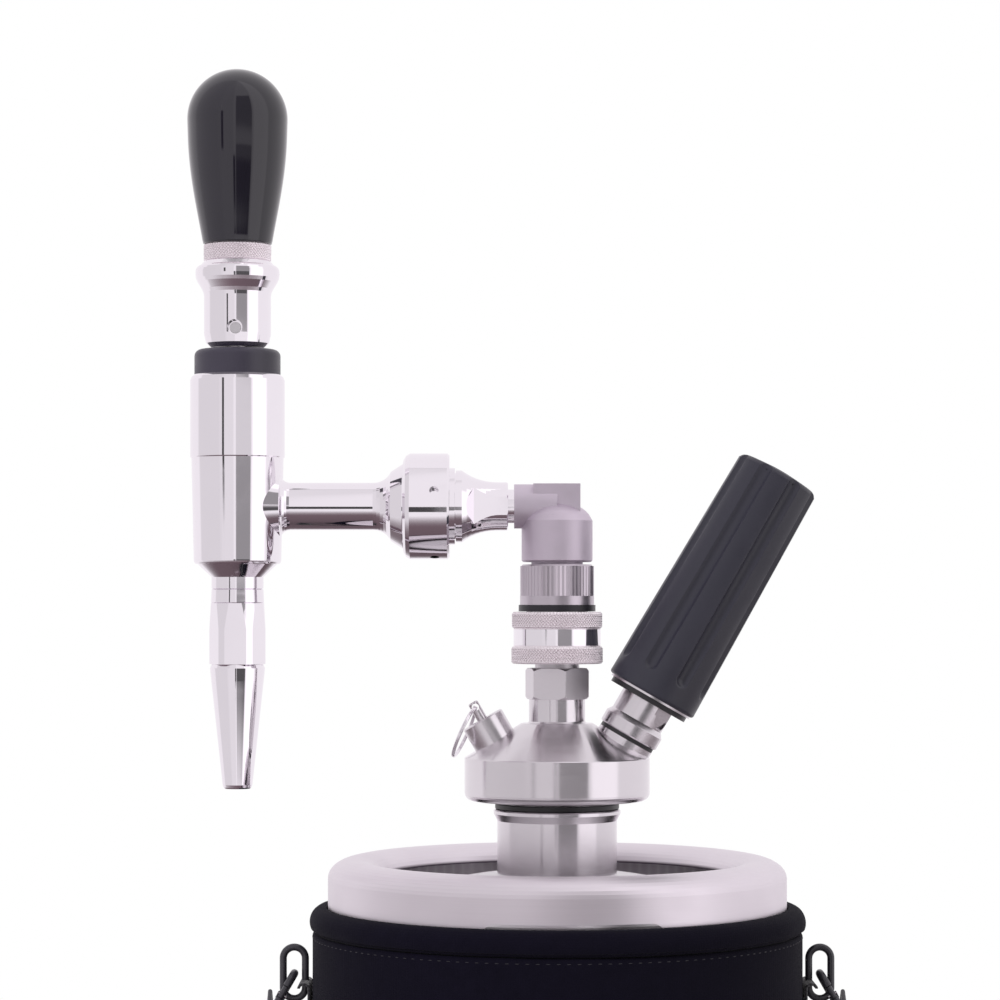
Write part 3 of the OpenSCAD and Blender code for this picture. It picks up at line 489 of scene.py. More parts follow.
def solid(name, points, faces, crease=35.0):
    """A mesh from points in metres, smooth except where its faces meet at more than crease degrees."""
    data = bpy.data.meshes.new(name)
    data.from_pydata(points, [], faces)
    work = bmesh.new()
    work.from_mesh(data)
    bmesh.ops.remove_doubles(work, verts=work.verts, dist=0.000002)
    bmesh.ops.recalc_face_normals(work, faces=work.faces)
    for face in work.faces:
        face.smooth = True
    for edge in work.edges:
        edge.smooth = edge.calc_face_angle(0) < math.radians(crease)
    work.to_mesh(data)
    work.free()
    return data


def lathe(name, outline, segments, place=None, offset=None, crease=35.0):
    """An outline of (radius, height) in millimetres turned about the place's z.

    offset(turn, radius, height) is added to the radius. An outline that starts and ends on the
    axis stays open there, and any other outline closes on itself.
    """
    place = place or Matrix()
    count = len(outline)
    closed = outline[0][0] > 0 or outline[-1][0] > 0
    points = []
    for i in range(segments):
        turn = 2 * math.pi * i / segments
        for radius, height in outline:
            out = radius + (offset(turn, radius, height) if offset else 0)
            local = Vector((out * math.cos(turn), out * math.sin(turn), height))
            points.append(place @ (local * MM))
    faces = []
    for i in range(segments):
        here = i * count
        there = ((i + 1) % segments) * count
        for k in range(count if closed else count - 1):
            n = (k + 1) % count
            faces.append((here + k, here + n, there + n, there + k))
    return solid(name, points, faces, crease)


def arc(centre_r, centre_h, radius, start, end, steps=8):
    """Points of an arc in an outline, from start to end degrees."""
    made = []
    for i in range(steps + 1):
        angle = math.radians(start + (end - start) * i / steps)
        made.append((centre_r + radius * math.cos(angle), centre_h + radius * math.sin(angle)))
    return made


def run(start, end, step):
    """Heights from start to end, about step apart."""
    count = max(1, round(abs(end - start) / step))
    return [start + (end - start) * i / count for i in range(count + 1)]


def wire(name, paths, radius, closed=False, sides=6):
    """Round wire along each path of points in metres, with closed ends."""
    data = bpy.data.curves.new(name, "CURVE")
    data.dimensions = "3D"
    data.bevel_depth = radius
    data.bevel_resolution = sides
    data.use_fill_caps = True
    for path in paths:
        spline = data.splines.new("POLY")
        spline.points.add(len(path) - 1)
        for point, at in zip(spline.points, path):
            point.co = (*at, 1)
        spline.use_cyclic_u = closed
        spline.use_smooth = True
    return data


def ribbon(name, centres, normals, across, width, thickness, rounding):
    """A flat band with rounded edges along centres (metres). across is the way its width lies."""
    half_w = width / 2 - rounding
    half_t = max(thickness / 2 - rounding, 0.0)
    section = []
    for corner, (sw, st) in enumerate(((1, 1), (-1, 1), (-1, -1), (1, -1))):
        for i in range(4):
            angle = math.radians(90 * corner + 30 * i)
            wide = sw * half_w + rounding * math.cos(angle)
            section.append((wide, st * half_t + rounding * math.sin(angle)))
    count = len(section)
    points = []
    lengths = [0.0]
    for i, centre in enumerate(centres):
        if i:
            lengths.append(lengths[-1] + (centre - centres[i - 1]).length)
        points += [centre + across * w + normals[i] * t for w, t in section]
    faces = []
    for i in range(len(centres) - 1):
        for k in range(count):
            n = (k + 1) % count
            faces.append((i * count + k, i * count + n, (i + 1) * count + n, (i + 1) * count + k))
    last = (len(centres) - 1) * count
    faces.append(tuple(reversed(range(count))))
    faces.append(tuple(range(last, last + count)))
    data = solid(name, points, faces, 60.0)
    coordinates = data.uv_layers.new(name="run")
    for loop in data.loops:
        k = loop.vertex_index
        coordinates.data[loop.index].uv = (lengths[k // count], section[k % count][0])
    return data


def dashes(points, normals, stitch, gap, sink):
    """Short bowed stitches along a line of points. Each one dips into the cloth at both ends."""
    made = []
    along = 0.0
    start = None
    for i in range(1, len(points)):
        along += (points[i] - points[i - 1]).length
        if start is None and along >= gap:
            start = i
            along = 0.0
        elif start is not None and along >= stitch:
            middle = (start + i) // 2
            made.append([
                points[start] - normals[start] * sink,
                points[middle] + normals[middle] * sink * 0.4,
                points[i] - normals[i] * sink,
            ])
            start = None
            along = 0.0
    return made


# ---------------------------------------------------------------- jacket

# Only points this near to the outer face are moved
FACE_DEPTH = 1.5

# Heights of the cloth's waves, how far below the hem it puckers, and the seam's valley at the back
SWELL = 0.22
PUCKER = 0.16
PUCKER_REACH = 18
HEM_WAVE = 0.14
SEAM_DEPTH = 0.7
SEAM_HALF = 1.1

# Rounding of the sleeve's lower and upper edges, the hem's top and the floor panel's rim
FLOOR_ROUND = 3.2
TOP_ROUND = 1.4
HEM_ROUND = 5.9
PANEL_ROUND = 1.9

# Sewing thread: its radius, a stitch, the gap to the next one, and how deep the ends dip
STITCH_R = 0.2
STITCH = 2.2
STITCH_GAP = 0.9
STITCH_SINK = 0.22


def folds(turn, radius, height):
    """How far the sleeve stands off the shell: slow swells, calmer towards its sewn ends."""
    if radius < JACKET_R - FACE_DEPTH:
        return 0.0
    calm = max(0.0, math.sin(math.pi * (height - JACKET_FLOOR) / (JACKET_TOP - JACKET_FLOOR)))
    swell = math.sin(3 * turn + height / 31) + 0.6 * math.sin(7 * turn - height / 19)
    pucker = 0.35 * math.sin(23 * turn + 2 * math.sin(5 * turn))
    edge = max(0.0, 1 - (HEM_LOW - height) / PUCKER_REACH)
    from_back = abs((turn - math.pi / 2 + math.pi) % (2 * math.pi) - math.pi) * JACKET_R
    seam = SEAM_DEPTH * math.exp(-((from_back / SEAM_HALF) ** 2))
    return SWELL * calm * swell + PUCKER * edge * pucker - seam


def hem_folds(turn, radius, height):
    """The hem's own small waves, which fade where it grips the rim."""
    share = max(0.0, (radius - JACKET_INNER) / (JACKET_R - JACKET_INNER))
    wave = math.sin(5 * turn + 1) + 0.7 * math.sin(19 * turn + 2 * math.sin(3 * turn))
    return HEM_WAVE * share * wave


def sleeve_outline():
    """The sleeve's section: straight sides, with its lower and upper outer edges rounded."""
    outline = [(JACKET_INNER, HEM_LOW), (JACKET_INNER, JACKET_FLOOR), (JACKET_R - FLOOR_ROUND, JACKET_FLOOR)]
    outline += arc(JACKET_R - FLOOR_ROUND, JACKET_FLOOR + FLOOR_ROUND, FLOOR_ROUND, -80, 0, 6)
    outline += [(JACKET_R, z) for z in run(JACKET_FLOOR + FLOOR_ROUND + 0.3, HEM_LOW - 1.2, 3.0)]
    return outline + arc(JACKET_R - TOP_ROUND, HEM_LOW - TOP_ROUND, TOP_ROUND, 15, 90, 5)


def hem_outline():
    """The hem's section: a tight lower edge and a full rounded top."""
    outline = [(JACKET_INNER, HEM_LOW + 0.2), (JACKET_R - 1.6, HEM_LOW + 0.2)]
    outline += arc(JACKET_R - 1.4, HEM_LOW + 1.7, 1.5, -80, -10, 5)
    outline += arc(JACKET_R - 4.6, JACKET_TOP - HEM_ROUND, HEM_ROUND, -22, 96, 16)
    return outline + [(JACKET_INNER, JACKET_TOP - 0.5)]


def floor_panel_outline():
    """The floor panel's section: a disc with a rounded rim, whose middle is just off the ground."""
    outline = [(0, 0.6), (JACKET_R - 8, 0.6), (JACKET_R - 6, 0.1), (JACKET_R - 3, 0)]
    outline += arc(JACKET_R - PANEL_ROUND, PANEL_ROUND, PANEL_ROUND, -85, 85, 10)
    return outline + [(JACKET_R - 3, JACKET_FLOOR), (0, JACKET_FLOOR)]


sleeve_data = lathe("jacket_sleeve", sleeve_outline(), 360, offset=folds)
sleeve = piece("jacket_sleeve", sleeve_data, "keg", neoprene_black, "neoprene", "jacket_wall")

hem_data = lathe("jacket_hem_roll", hem_outline(), 360, offset=hem_folds)
hem_roll = piece("jacket_hem_roll", hem_data, "keg", neoprene_black, "neoprene", "jacket_hem")

panel_data = lathe("jacket_floor_panel", floor_panel_outline(), 240)
piece("jacket_floor_panel", panel_data, "keg", neoprene_black, "neoprene", "jacket_base")


def ring_line(radius, height, count=1440):
    """Points and outward normals round the keg, at one height in millimetres."""
    points, normals = [], []
    for i in range(count + 1):
        turn = 2 * math.pi * i / count
        out = Vector((math.cos(turn), math.sin(turn), 0))
        points.append(out * (radius + folds(turn, JACKET_R, height)) * MM + Vector((0, 0, height * MM)))
        normals.append(out)
    return points, normals


seams = []
for seam_radius, seam_height in ((JACKET_R - 0.1, HEM_LOW - 1.9), (JACKET_R, JACKET_FLOOR + 8.0)):
    line, outward = ring_line(seam_radius, seam_height)
    seams += dashes(line, outward, STITCH * MM, STITCH_GAP * MM, STITCH_SINK * MM)
seam_data = wire("jacket_stitching", seams, STITCH_R * MM, sides=2)
piece("jacket_stitching", seam_data, "keg", thread_black, "webbing")

# ---------------------------------------------------------------- side tabs, rings and hooks

# How far the tab's band stands off the jacket, and how its fold rounds the ring's bar
TAB_STAND = 0.9
TAB_FOLD = 3.2
FOLD_WIDE = 2.2
FOLD_HIGH = 1.6
FOLD_STEPS = 12


def on_hook(side):
    """The hook's place: z runs back up its length."""
    direction = (-side * math.sin(math.radians(HOOK_LEAN)), 0, math.cos(math.radians(HOOK_LEAN)))
    return leaning(Vector((side * RING_X, 0, HOOK_Z)) * MM, direction)


def hook_points(place, spots):
    """Points in metres from (x, y, z) spots in millimetres on a hook."""
    return [place @ (Vector(spot) * MM) for spot in spots]


def sewn_tab(side, word):
    """A band that runs up the jacket and folds over the lower bar of the side ring."""
    bar_x = side * (RING_X - RING_HALF)
    centres, normals = [], []
    for z in run(TAB_LOW, TAB_TOP - TAB_FOLD, 1.0):
        centres.append(Vector((side * (JACKET_R + TAB_STAND), 0, z)) * MM)
        normals.append(Vector((side, 0, 0)))
    for i in range(FOLD_STEPS + 1):
        angle = math.pi * (1 - i / FOLD_STEPS)
        out = Vector((math.cos(angle) * side * FOLD_WIDE, 0, math.sin(angle) * FOLD_HIGH))
        centres.append(Vector((bar_x + out.x * 0.9, 0, TAB_TOP - TAB_FOLD + out.z)) * MM)
        normals.append(out.normalized())
    tab = ribbon(f"tab_{word}", centres, normals, Vector((0, 1, 0)), TAB_W * MM, TAB_T * MM, 0.5 * MM)
    piece(f"tab_{word}", tab, "keg", webbing_black, "webbing")


def side_ring(side, word):
    """The oval ring: a half circle at each end and straight wire between."""
    loop = []
    for end, height in ((0, RING_HIGH), (180, RING_LOW)):
        for x, z in arc(side * RING_X, height, RING_HALF, end, end + 180, 24):
            loop.append(Vector((x, 0, z)) * MM)
    ring = wire(f"loop_{word}", [loop], RING_WIRE * MM, closed=True)
    piece(f"loop_{word}", ring, f"ring_{word}", metal_black, "black_metal", f"ring_{word}")


def snap_hook(place, word):
    """The hook's bent bar, from the gate's end down round the foot and up over the top bend."""
    bends = [(-HOOK_HALF, -GATE_AT)]
    bends += arc(0, HOOK_HALF - HOOK_LENGTH, HOOK_HALF, 180, 360, 24)
    bends += arc(0, -HOOK_HALF, HOOK_HALF, 0, 180, 24)
    hook = wire(f"snap_{word}", [hook_points(place, [(0, y, z) for y, z in bends])], HOOK_R * MM)
    piece(f"snap_{word}", hook, f"hook_{word}", metal_black, "black_metal", f"hook_{word}")


def hook_eye(place, word):
    """The flat eye under the hook that takes the strap's end bar, and the swivel between them."""
    half = EYE_T / 2
    outline = arc(EYE_R - RIM_ROUND, half - RIM_ROUND, RIM_ROUND, 0, 90, 4)
    outline += arc(EYE_HOLE + HOLE_ROUND, half - HOLE_ROUND, HOLE_ROUND, 90, 180, 4)
    outline += arc(EYE_HOLE + HOLE_ROUND, HOLE_ROUND - half, HOLE_ROUND, 180, 270, 4)
    outline += arc(EYE_R - RIM_ROUND, RIM_ROUND - half, RIM_ROUND, 270, 360, 4)
    eye_place = place @ Matrix.Translation((0, 0, -EYE_AT * MM))
    eye_place = eye_place @ Matrix.Rotation(math.radians(90), 4, "X")
    eye = lathe(f"eye_{word}", outline, 64, eye_place)
    piece(f"eye_{word}", eye, f"hook_{word}", metal_black, "black_metal")
    outline = [(0, SWIVEL_LOW), (SWIVEL_R - 0.5, SWIVEL_LOW), (SWIVEL_R, SWIVEL_LOW + 0.5)]
    outline += [(SWIVEL_R, SWIVEL_HIGH - 0.5), (SWIVEL_R - 0.4, SWIVEL_HIGH), (0, SWIVEL_HIGH)]
    swivel = lathe(f"swivel_{word}", outline, 40, place)
    piece(f"swivel_{word}", swivel, f"hook_{word}", metal_black, "black_metal")


def hook_gate(place, word):
    """The spring gate's bar, with its rivet and the two ears that hold the rivet."""
    rivet = hook_points(place, [(x, -HOOK_HALF, PIVOT_AT) for x in (-RIVET_HALF, RIVET_HALF)])
    pin = wire(f"gate_pin_{word}", [rivet], PIVOT_R * MM)
    piece(f"gate_pin_{word}", pin, f"hook_{word}", finishes["steel_plain"], "black_metal")
    bars = []
    for x in (-EAR_X, EAR_X):
        bars.append(hook_points(place, [(x, -HOOK_HALF, z) for z in (EAR_LOW, EAR_HIGH)]))
    ears = wire(f"gate_ears_{word}", bars, EAR_R * MM)
    piece(f"gate_ears_{word}", ears, f"hook_{word}", metal_black, "black_metal")
    ends = (GATE_GAP - GATE_AT, -HOOK_HALF - GATE_GAP / 2)
    gate = wire(f"gate_bar_{word}", [hook_points(place, [(0, -HOOK_HALF, z) for z in ends])], GATE_R * MM)
    piece(f"gate_bar_{word}", gate, f"gate_{word}", metal_black, "black_metal", f"gate_{word}")


SIDES = ((-1, "left"), (1, "right"))
for side, word in SIDES:
    sewn_tab(side, word)
    side_ring(side, word)
    snap_hook(on_hook(side), word)
    hook_eye(on_hook(side), word)
    hook_gate(on_hook(side), word)
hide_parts("side_tabs")

# ---------------------------------------------------------------- shoulder strap

strap_lean = Matrix.Rotation(math.radians(STRAP_LEAN - 90), 4, "X")
strap_place = Matrix.Translation((0, 0, STRAP_TOP * MM)) @ strap_lean
strap_across = (strap_place.to_3x3() @ Vector((0, 0, 1))).normalized()


def on_strap(x, y, z):
    """A point in metres from millimetres in the strap's leaning plane: x to the side, y down."""
    return strap_place @ (Vector((x, y, z)) * MM)


def strap_line(step):
    """Centres and outward normals of the hanging loop, in metres."""
    flat = [(STRAP_U, y, 1.0, 0.0) for y in run(STRAP_START, STRAP_STRAIGHT, step)]
    depth = STRAP_DROP - STRAP_STRAIGHT
    for i in range(1, 180):
        angle = math.radians(i)
        normal = Vector((math.cos(angle) / STRAP_U, math.sin(angle) / depth)).normalized()
        x = STRAP_U * math.cos(angle)
        y = STRAP_STRAIGHT + depth * math.sin(angle)
        flat.append((x, y, normal.x, normal.y))
    flat += [(-STRAP_U, y, -1.0, 0.0) for y in run(STRAP_STRAIGHT, STRAP_START, step)]
    turned = strap_place.to_3x3()
    centres = [on_strap(x, y, 0) for x, y, nx, ny in flat]
    normals = [turned @ Vector((nx, ny, 0)) for x, y, nx, ny in flat]
    return centres, normals


def strap_ribbon(name, points, normals):
    """A stretch of the strap's webbing along points."""
    return ribbon(name, points, normals, strap_across, STRAP_W * MM, STRAP_T * MM, WEBBING_ROUND * MM)


def folded_end(word, side, centres, normals):
    """The webbing that is folded back inside the strap on one side."""
    near = []
    for i, centre in enumerate(centres):
        if (centre.x > 0) == (side > 0) and (centres[0] - centre).z < FOLD_DROP * MM:
            near.append(i)
    fold = [centres[i] - normals[i] * STRAP_T * MM for i in near]
    layer = strap_ribbon(f"fold_{word}", fold, [normals[i] for i in near])
    piece(f"fold_{word}", layer, "keg", webbing_black, "webbing")


def end_loop(word, side):
    """The wire loop that the strap's end is sewn round."""
    span = STRAP_W / 2 + LOOP_SIDE
    corners = ((0, -span), (0, span), (STRAP_START, span), (STRAP_START, -span))
    path = [on_strap(side * STRAP_U, y, z) for y, z in corners]
    bars = wire(f"strap_ring_{word}", [path], BAR_R * MM, closed=True)
    piece(f"strap_ring_{word}", bars, "keg", metal_black, "black_metal")


centres, normals = strap_line(2.0)
band = strap_ribbon("strap_band", centres, normals)
piece("strap_band", band, "keg", webbing_black, "webbing", "shoulder_strap")
for side, word in SIDES:
    folded_end(word, side, centres, normals)
    end_loop(word, side)
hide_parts("strap_rings")

bottom = [i for i, c in enumerate(centres) if abs(c.x) <= PAD_HALF * MM]
pad_centres = [centres[i] for i in bottom]
pad_normals = [normals[i] for i in bottom]
pad = ribbon("strap_pad", pad_centres, pad_normals, strap_across, PAD_W * MM, PAD_T * MM, PAD_ROUND * MM)
pad_piece = piece("strap_pad", pad, "keg", neoprene_black, "neoprene", "shoulder_pad")

pad_seams = []
for edge in (-1, 1):
    shift = strap_across * edge * (PAD_W / 2 - PAD_SEAM_IN) * MM
    fine_centres, fine_normals = [], []
    for i in range(len(pad_centres) - 1):
        for share in (0, 0.25, 0.5, 0.75):
            middle = pad_centres[i].lerp(pad_centres[i + 1], share)
            fine_centres.append(middle + shift + pad_normals[i] * PAD_T / 2 * MM)
            fine_normals.append(pad_normals[i])
    pad_seams += dashes(fine_centres, fine_normals, PAD_STITCH * MM, PAD_STITCH_GAP * MM, STITCH_R * MM)
pad_thread = wire("pad_stitching", pad_seams, STITCH_R * MM, sides=2)
piece("pad_stitching", pad_thread, "keg", thread_black, "webbing")

slider_span = STRAP_W / 2 + SLIDER_SIDE
slider_x = -STRAP_U - SLIDER_OUT
slider_paths = []
for y in SLIDER_BARS:
    slider_paths.append([on_strap(slider_x, y, z) for z in (-slider_span, slider_span)])
for z in (-slider_span, slider_span):
    slider_paths.append([on_strap(slider_x, y, z) for y in (SLIDER_BARS[0], SLIDER_BARS[-1])])
slider = wire("slider_frame", slider_paths, SLIDER_R * MM)
piece("slider_frame", slider, "keg", metal_black, "black_metal", "strap_slider")

# ---------------------------------------------------------------- charger grip

MOUTH_ROUND = 1.2
END_ROUND = 2.6
END_DOME = 3.8
CORE_R = 0.6


def grip_radius(height):
    """The grip's outer radius, which tapers from its mouth to its closed end."""
    return GRIP_R0 + (GRIP_R1 - GRIP_R0) * height / GRIP_L


def channels(turn, radius, height):
    """The grip's eight grooves. Each starts round near the mouth and runs out at the closed end."""
    pitch = 2 * math.pi / CHANNELS
    aside = (turn % pitch - pitch / 2) * radius
    away = math.hypot(aside, max(0.0, CHANNEL_AT - height))
    if away >= CHANNEL_R or radius < GRIP_BORE + 1:
        return 0.0
    groove = grip_radius(height) + CHANNEL_OUT - math.sqrt(CHANNEL_R**2 - away**2)
    return min(0.0, groove - radius)


def grip_outline():
    """The grip's section: its mouth, its side, stepped closely at the grooves' ends, and its dome."""
    outline = [(GRIP_BORE, 0), (GRIP_R0 - MOUTH_ROUND, 0)]
    outline += arc(GRIP_R0 - MOUTH_ROUND, MOUTH_ROUND, MOUTH_ROUND, -80, 0, 5)
    outline += [(grip_radius(z), z) for z in run(2.0, 15.0, 0.4)]
    outline += [(grip_radius(z), z) for z in run(17.0, GRIP_L - 3.0, 4.0)]
    outline += arc(GRIP_R1 - END_ROUND, GRIP_L - END_DOME, END_ROUND, 2, 78, 12)
    outline += [(10.5, GRIP_L - 0.75), (6.0, GRIP_L - 0.25), (CORE_R, GRIP_L - 0.02)]
    return outline + [(CORE_R, GRIP_BORE_L), (GRIP_BORE, GRIP_BORE_L)]


charger_place = leaning(CHARGER_AXIS, JOINTS["holder_turn"]["axis"])
grip_place = charger_place @ Matrix.Translation((0, 0, MOUTH_T * MM))
grip = lathe("grip_sleeve", grip_outline(), 480, grip_place, channels, 50.0)
piece("grip_sleeve", grip, "holder", finishes["grip_rubber"], "grip_rubber", "holder_grip")

# ---------------------------------------------------------------- knurled collar and ferrule

# Height between points on a knurled band, and how steep a groove's sides are
KNURL_STEP = 0.2
GROOVE_SLOPE = 2.2

# Grooves round each knurl and how deep they are
COLLAR_GROOVES = 84
COLLAR_CUT = 0.42
FERRULE_GROOVES = 64
FERRULE_CUT = 0.45
FERRULE_BEVEL = 0.5


def triangle(value):
    """A wave that falls from 1 to 0 and rises back to 1 over each whole step of value."""
    return abs((value % 1.0) * 2 - 1)


def diamond(radius, count, bands, depth):
    """Crossed V grooves in the bands (low, high) of one outer radius."""

    def offset(turn, out, height):
        for low, high in bands:
            if low < height < high and out > radius:
                along = count * turn / (2 * math.pi)
                rise = height * count / (2 * math.pi * (radius + 0.5))
                crossed = min(triangle(along + rise), triangle(along - rise))
                return -depth * (1 - min(1.0, GROOVE_SLOPE * crossed))
        return 0.0

    return offset


def collar_outline():
    """The collar's section: the lower band, the waist, the upper band, the seat and the inner rib."""
    outline = [(RIB_R, RIB_LOW), (COLLAR_BORE, RIB_LOW), (COLLAR_BORE, COLLAR_LOW)]
    outline += [(LOWER_R - 0.6, COLLAR_LOW), (LOWER_R, COLLAR_LOW + 0.6)]
    outline += [(LOWER_R, z) for z in run(COLLAR_LOW + 0.9, WAIST_LOW - 0.75, KNURL_STEP)]
    outline += [(LOWER_R - 0.5, WAIST_LOW - 0.05), (WAIST_R, WAIST_LOW), (WAIST_R, WAIST_LOW + 0.45)]
    outline += [(WAIST_R, WAIST_HIGH - 0.45), (WAIST_R, WAIST_HIGH)]
    outline += [(UPPER_R - 0.5, WAIST_HIGH + 0.05), (UPPER_R, WAIST_HIGH + 0.55)]
    outline += [(UPPER_R, z) for z in run(WAIST_HIGH + 0.75, COLLAR_HIGH - 0.8, KNURL_STEP)]
    outline += [(UPPER_R - 0.6, COLLAR_HIGH), (SEAT_R, COLLAR_HIGH), (SEAT_R, SEAT_LOW)]
    return outline + [(COLLAR_BORE, SEAT_LOW), (COLLAR_BORE, RIB_HIGH), (RIB_R, RIB_HIGH)]


collar_bands = ((COLLAR_LOW + 0.8, WAIST_LOW - 0.65), (WAIST_HIGH + 0.65, COLLAR_HIGH - 0.7))
collar_knurl = diamond(UPPER_R - 0.25, COLLAR_GROOVES, collar_bands, COLLAR_CUT)
collar = lathe("collar_knurled", collar_outline(), 840, offset=collar_knurl)
piece("collar_knurled", collar, "collar", knurl_steel, "steel_brushed", "release_collar")

# Polished band on the collar's waist
BAND_R = 16.96
BAND_INNER = 16.5
BAND_LOW = 328.75
BAND_HIGH = 335.15
band_outline = [(BAND_R - 0.06, BAND_LOW), (BAND_R, BAND_LOW + 0.05), (BAND_R, BAND_HIGH - 0.05)]
band_outline += [(BAND_R - 0.06, BAND_HIGH), (BAND_INNER, BAND_HIGH), (BAND_INNER, BAND_LOW)]
band = lathe("collar_band", band_outline, 192)
piece("collar_band", band, "collar", finishes["steel_polished"], "steel_brushed")

tap_axis = Matrix.Translation((TAP_X, 0, 0))
ferrule_outline = [(0, FERRULE_LOW), (FERRULE_R - FERRULE_BEVEL, FERRULE_LOW)]
ferrule_outline += [(FERRULE_R, FERRULE_LOW + FERRULE_BEVEL)]
ferrule_outline += [(FERRULE_R, z) for z in run(FERRULE_LOW + 0.8, KNOB_LOW - 0.8, KNURL_STEP)]
ferrule_outline += [(FERRULE_R, KNOB_LOW - FERRULE_BEVEL), (FERRULE_R - FERRULE_BEVEL, KNOB_LOW)]
ferrule_outline += [(STUD_R, KNOB_LOW), (STUD_R, KNOB_LOW + STUD_DEPTH), (0, KNOB_LOW + STUD_DEPTH)]
ferrule_band = ((FERRULE_LOW + 0.7, KNOB_LOW - 0.7),)
ferrule_knurl = diamond(FERRULE_R - 0.1, FERRULE_GROOVES, ferrule_band, FERRULE_CUT)
ferrule = lathe("ferrule_knurled", ferrule_outline, 576, tap_axis, ferrule_knurl)
piece("ferrule_knurled", ferrule, "handle", knurl_steel, "steel_brushed", "handle_ferrule")

# Dark ring round the neck, just under the lid: part a rubber seal and part painted shade of the lid
SEAL_BORE = 22.2
SEAL_R = 24.1
SEAL_LOW = 265.4
SEAL_HIGH = 267.4
SEAL_BEVEL = 0.2
seal_outline = [(SEAL_BORE, SEAL_LOW), (SEAL_R - SEAL_BEVEL, SEAL_LOW), (SEAL_R, SEAL_LOW + SEAL_BEVEL)]
seal_outline += [(SEAL_R, SEAL_HIGH - SEAL_BEVEL), (SEAL_R - SEAL_BEVEL, SEAL_HIGH), (SEAL_BORE, SEAL_HIGH)]
neck_seal_and_shade = lathe("neck_seal_and_shade", seal_outline, 160)
piece("neck_seal_and_shade", neck_seal_and_shade, "keg", finishes["seal_rubber"], "seal_rubber")

# ---------------------------------------------------------------- knob and split ring

# The flank aims at a point just inside the round head and stops some steps short of it
FLANK_STEPS = 32
FLANK_SHORT = 3
FLANK_SWELL = 1.1
FOOT_ROUND = 0.7
FLANK_R = KNOB_R - 0.15
FLANK_TOP = KNOB_CENTRE - 3


def knob_outline():
    """The knob's section: its foot, a flank that swells upwards, its round head and the stud's bore."""
    outline = [(STUD_R, KNOB_LOW), (KNOB_FOOT - FOOT_ROUND, KNOB_LOW)]
    outline += arc(KNOB_FOOT - FOOT_ROUND, KNOB_LOW + FOOT_ROUND, FOOT_ROUND, -80, 0, 4)
    for i in range(1, FLANK_STEPS - FLANK_SHORT):
        share = i / FLANK_STEPS
        swell = math.sin(math.pi / 2 * share) ** FLANK_SWELL
        height = KNOB_LOW + (FLANK_TOP - KNOB_LOW) * share
        outline.append((KNOB_FOOT + (FLANK_R - KNOB_FOOT) * swell, height))
    outline += arc(0, KNOB_CENTRE, KNOB_R, -3, 89.6, 30)
    return outline + [(0.1, KNOB_LOW + STUD_DEPTH), (STUD_R, KNOB_LOW + STUD_DEPTH)]


knob = lathe("knob_turned", knob_outline(), 192, tap_axis)
piece("knob_turned", knob, "handle", finishes["knob_black"], "knob_black", "tap_knob")

# Radius of the wire, the ring's turn about the line it hangs by, its coils and how far apart in
# wire radii their ends lie
SPLIT_WIRE = 0.5
SPLIT_YAW = 8.0
SPLIT_TURNS = 2
SPLIT_STEPS = 192
SPLIT_SPREAD = 1.8


def split_ring_path():
    """Two turns of wire that hang from the relief valve's stem and lie one against the other."""
    lean = math.radians(SPLIT_LEAN)
    down = Vector((-math.sin(lean), 0, -math.cos(lean)))
    yaw = Matrix.Rotation(math.radians(SPLIT_YAW), 3, down)
    aside = yaw @ Vector((0, 1, 0))
    normal = yaw @ Vector((math.cos(lean), 0, -math.sin(lean)))
    middle = RELIEF_AT + down * SPLIT_R * MM
    path = []
    for i in range(SPLIT_STEPS + 1):
        share = i / SPLIT_STEPS
        angle = 2 * math.pi * SPLIT_TURNS * share
        spoke = (aside * math.sin(angle) - down * math.cos(angle)) * SPLIT_R * MM
        path.append(middle + spoke + normal * (share - 0.5) * SPLIT_SPREAD * SPLIT_WIRE * MM)
    return path


split_ring = wire("split_ring", [split_ring_path()], SPLIT_WIRE * MM)
piece("split_ring", split_ring, "pull_ring", finishes["steel_polished"], "steel_polished", "pull_ring")

# ---------------------------------------------------------------- stage

# A disc in metres: its edge, its gap under the object, and where it starts to fade
FLOOR_R = 1.1
FLOOR_GAP = 0.0005
FLOOR_FADE = 0.35
FLOOR_SIDES = 120
FLOOR_PALE = (0.86, 0.86, 0.87, 1)
FLOOR_MIRRORED = (0.10, 0.07, 0.08, 1)


def floor_look():
    """A pale floor that fades out at its edge. It is dark where the steel mirrors it."""
    made = bpy.data.materials.new("floor")
    made.use_nodes = True
    graph = Graph(made.node_tree)
    shader = made.node_tree.nodes["Principled BSDF"]
    mirrored = graph.add("ShaderNodeLightPath").outputs["Is Glossy Ray"]
    graph.put(shader.inputs["Base Color"], graph.mix(mirrored, FLOOR_PALE, FLOOR_MIRRORED))
    shader.inputs["Roughness"].default_value = 0.9
    distance = graph.add("ShaderNodeVectorMath", {0: graph.place()}, operation="LENGTH").outputs["Value"]
    graph.put(shader.inputs["Alpha"], graph.ramp(distance, FLOOR_FADE, FLOOR_R - 0.1, 1.0, 0.0))
    return made


floor_rim = []
for i in range(FLOOR_SIDES):
    angle = 2 * math.pi * i / FLOOR_SIDES
    floor_rim.append((FLOOR_R * math.cos(angle), FLOOR_R * math.sin(angle), 0))
floor_data = solid("floor", floor_rim, [tuple(range(FLOOR_SIDES))])
floor_data.materials.append(floor_look())
floor = bpy.data.objects.new("floor", floor_data)
bpy.context.scene.collection.objects.link(floor)
floor.location.z = cad_box[0].z - FLOOR_GAP

# ---------------------------------------------------------------- studio light

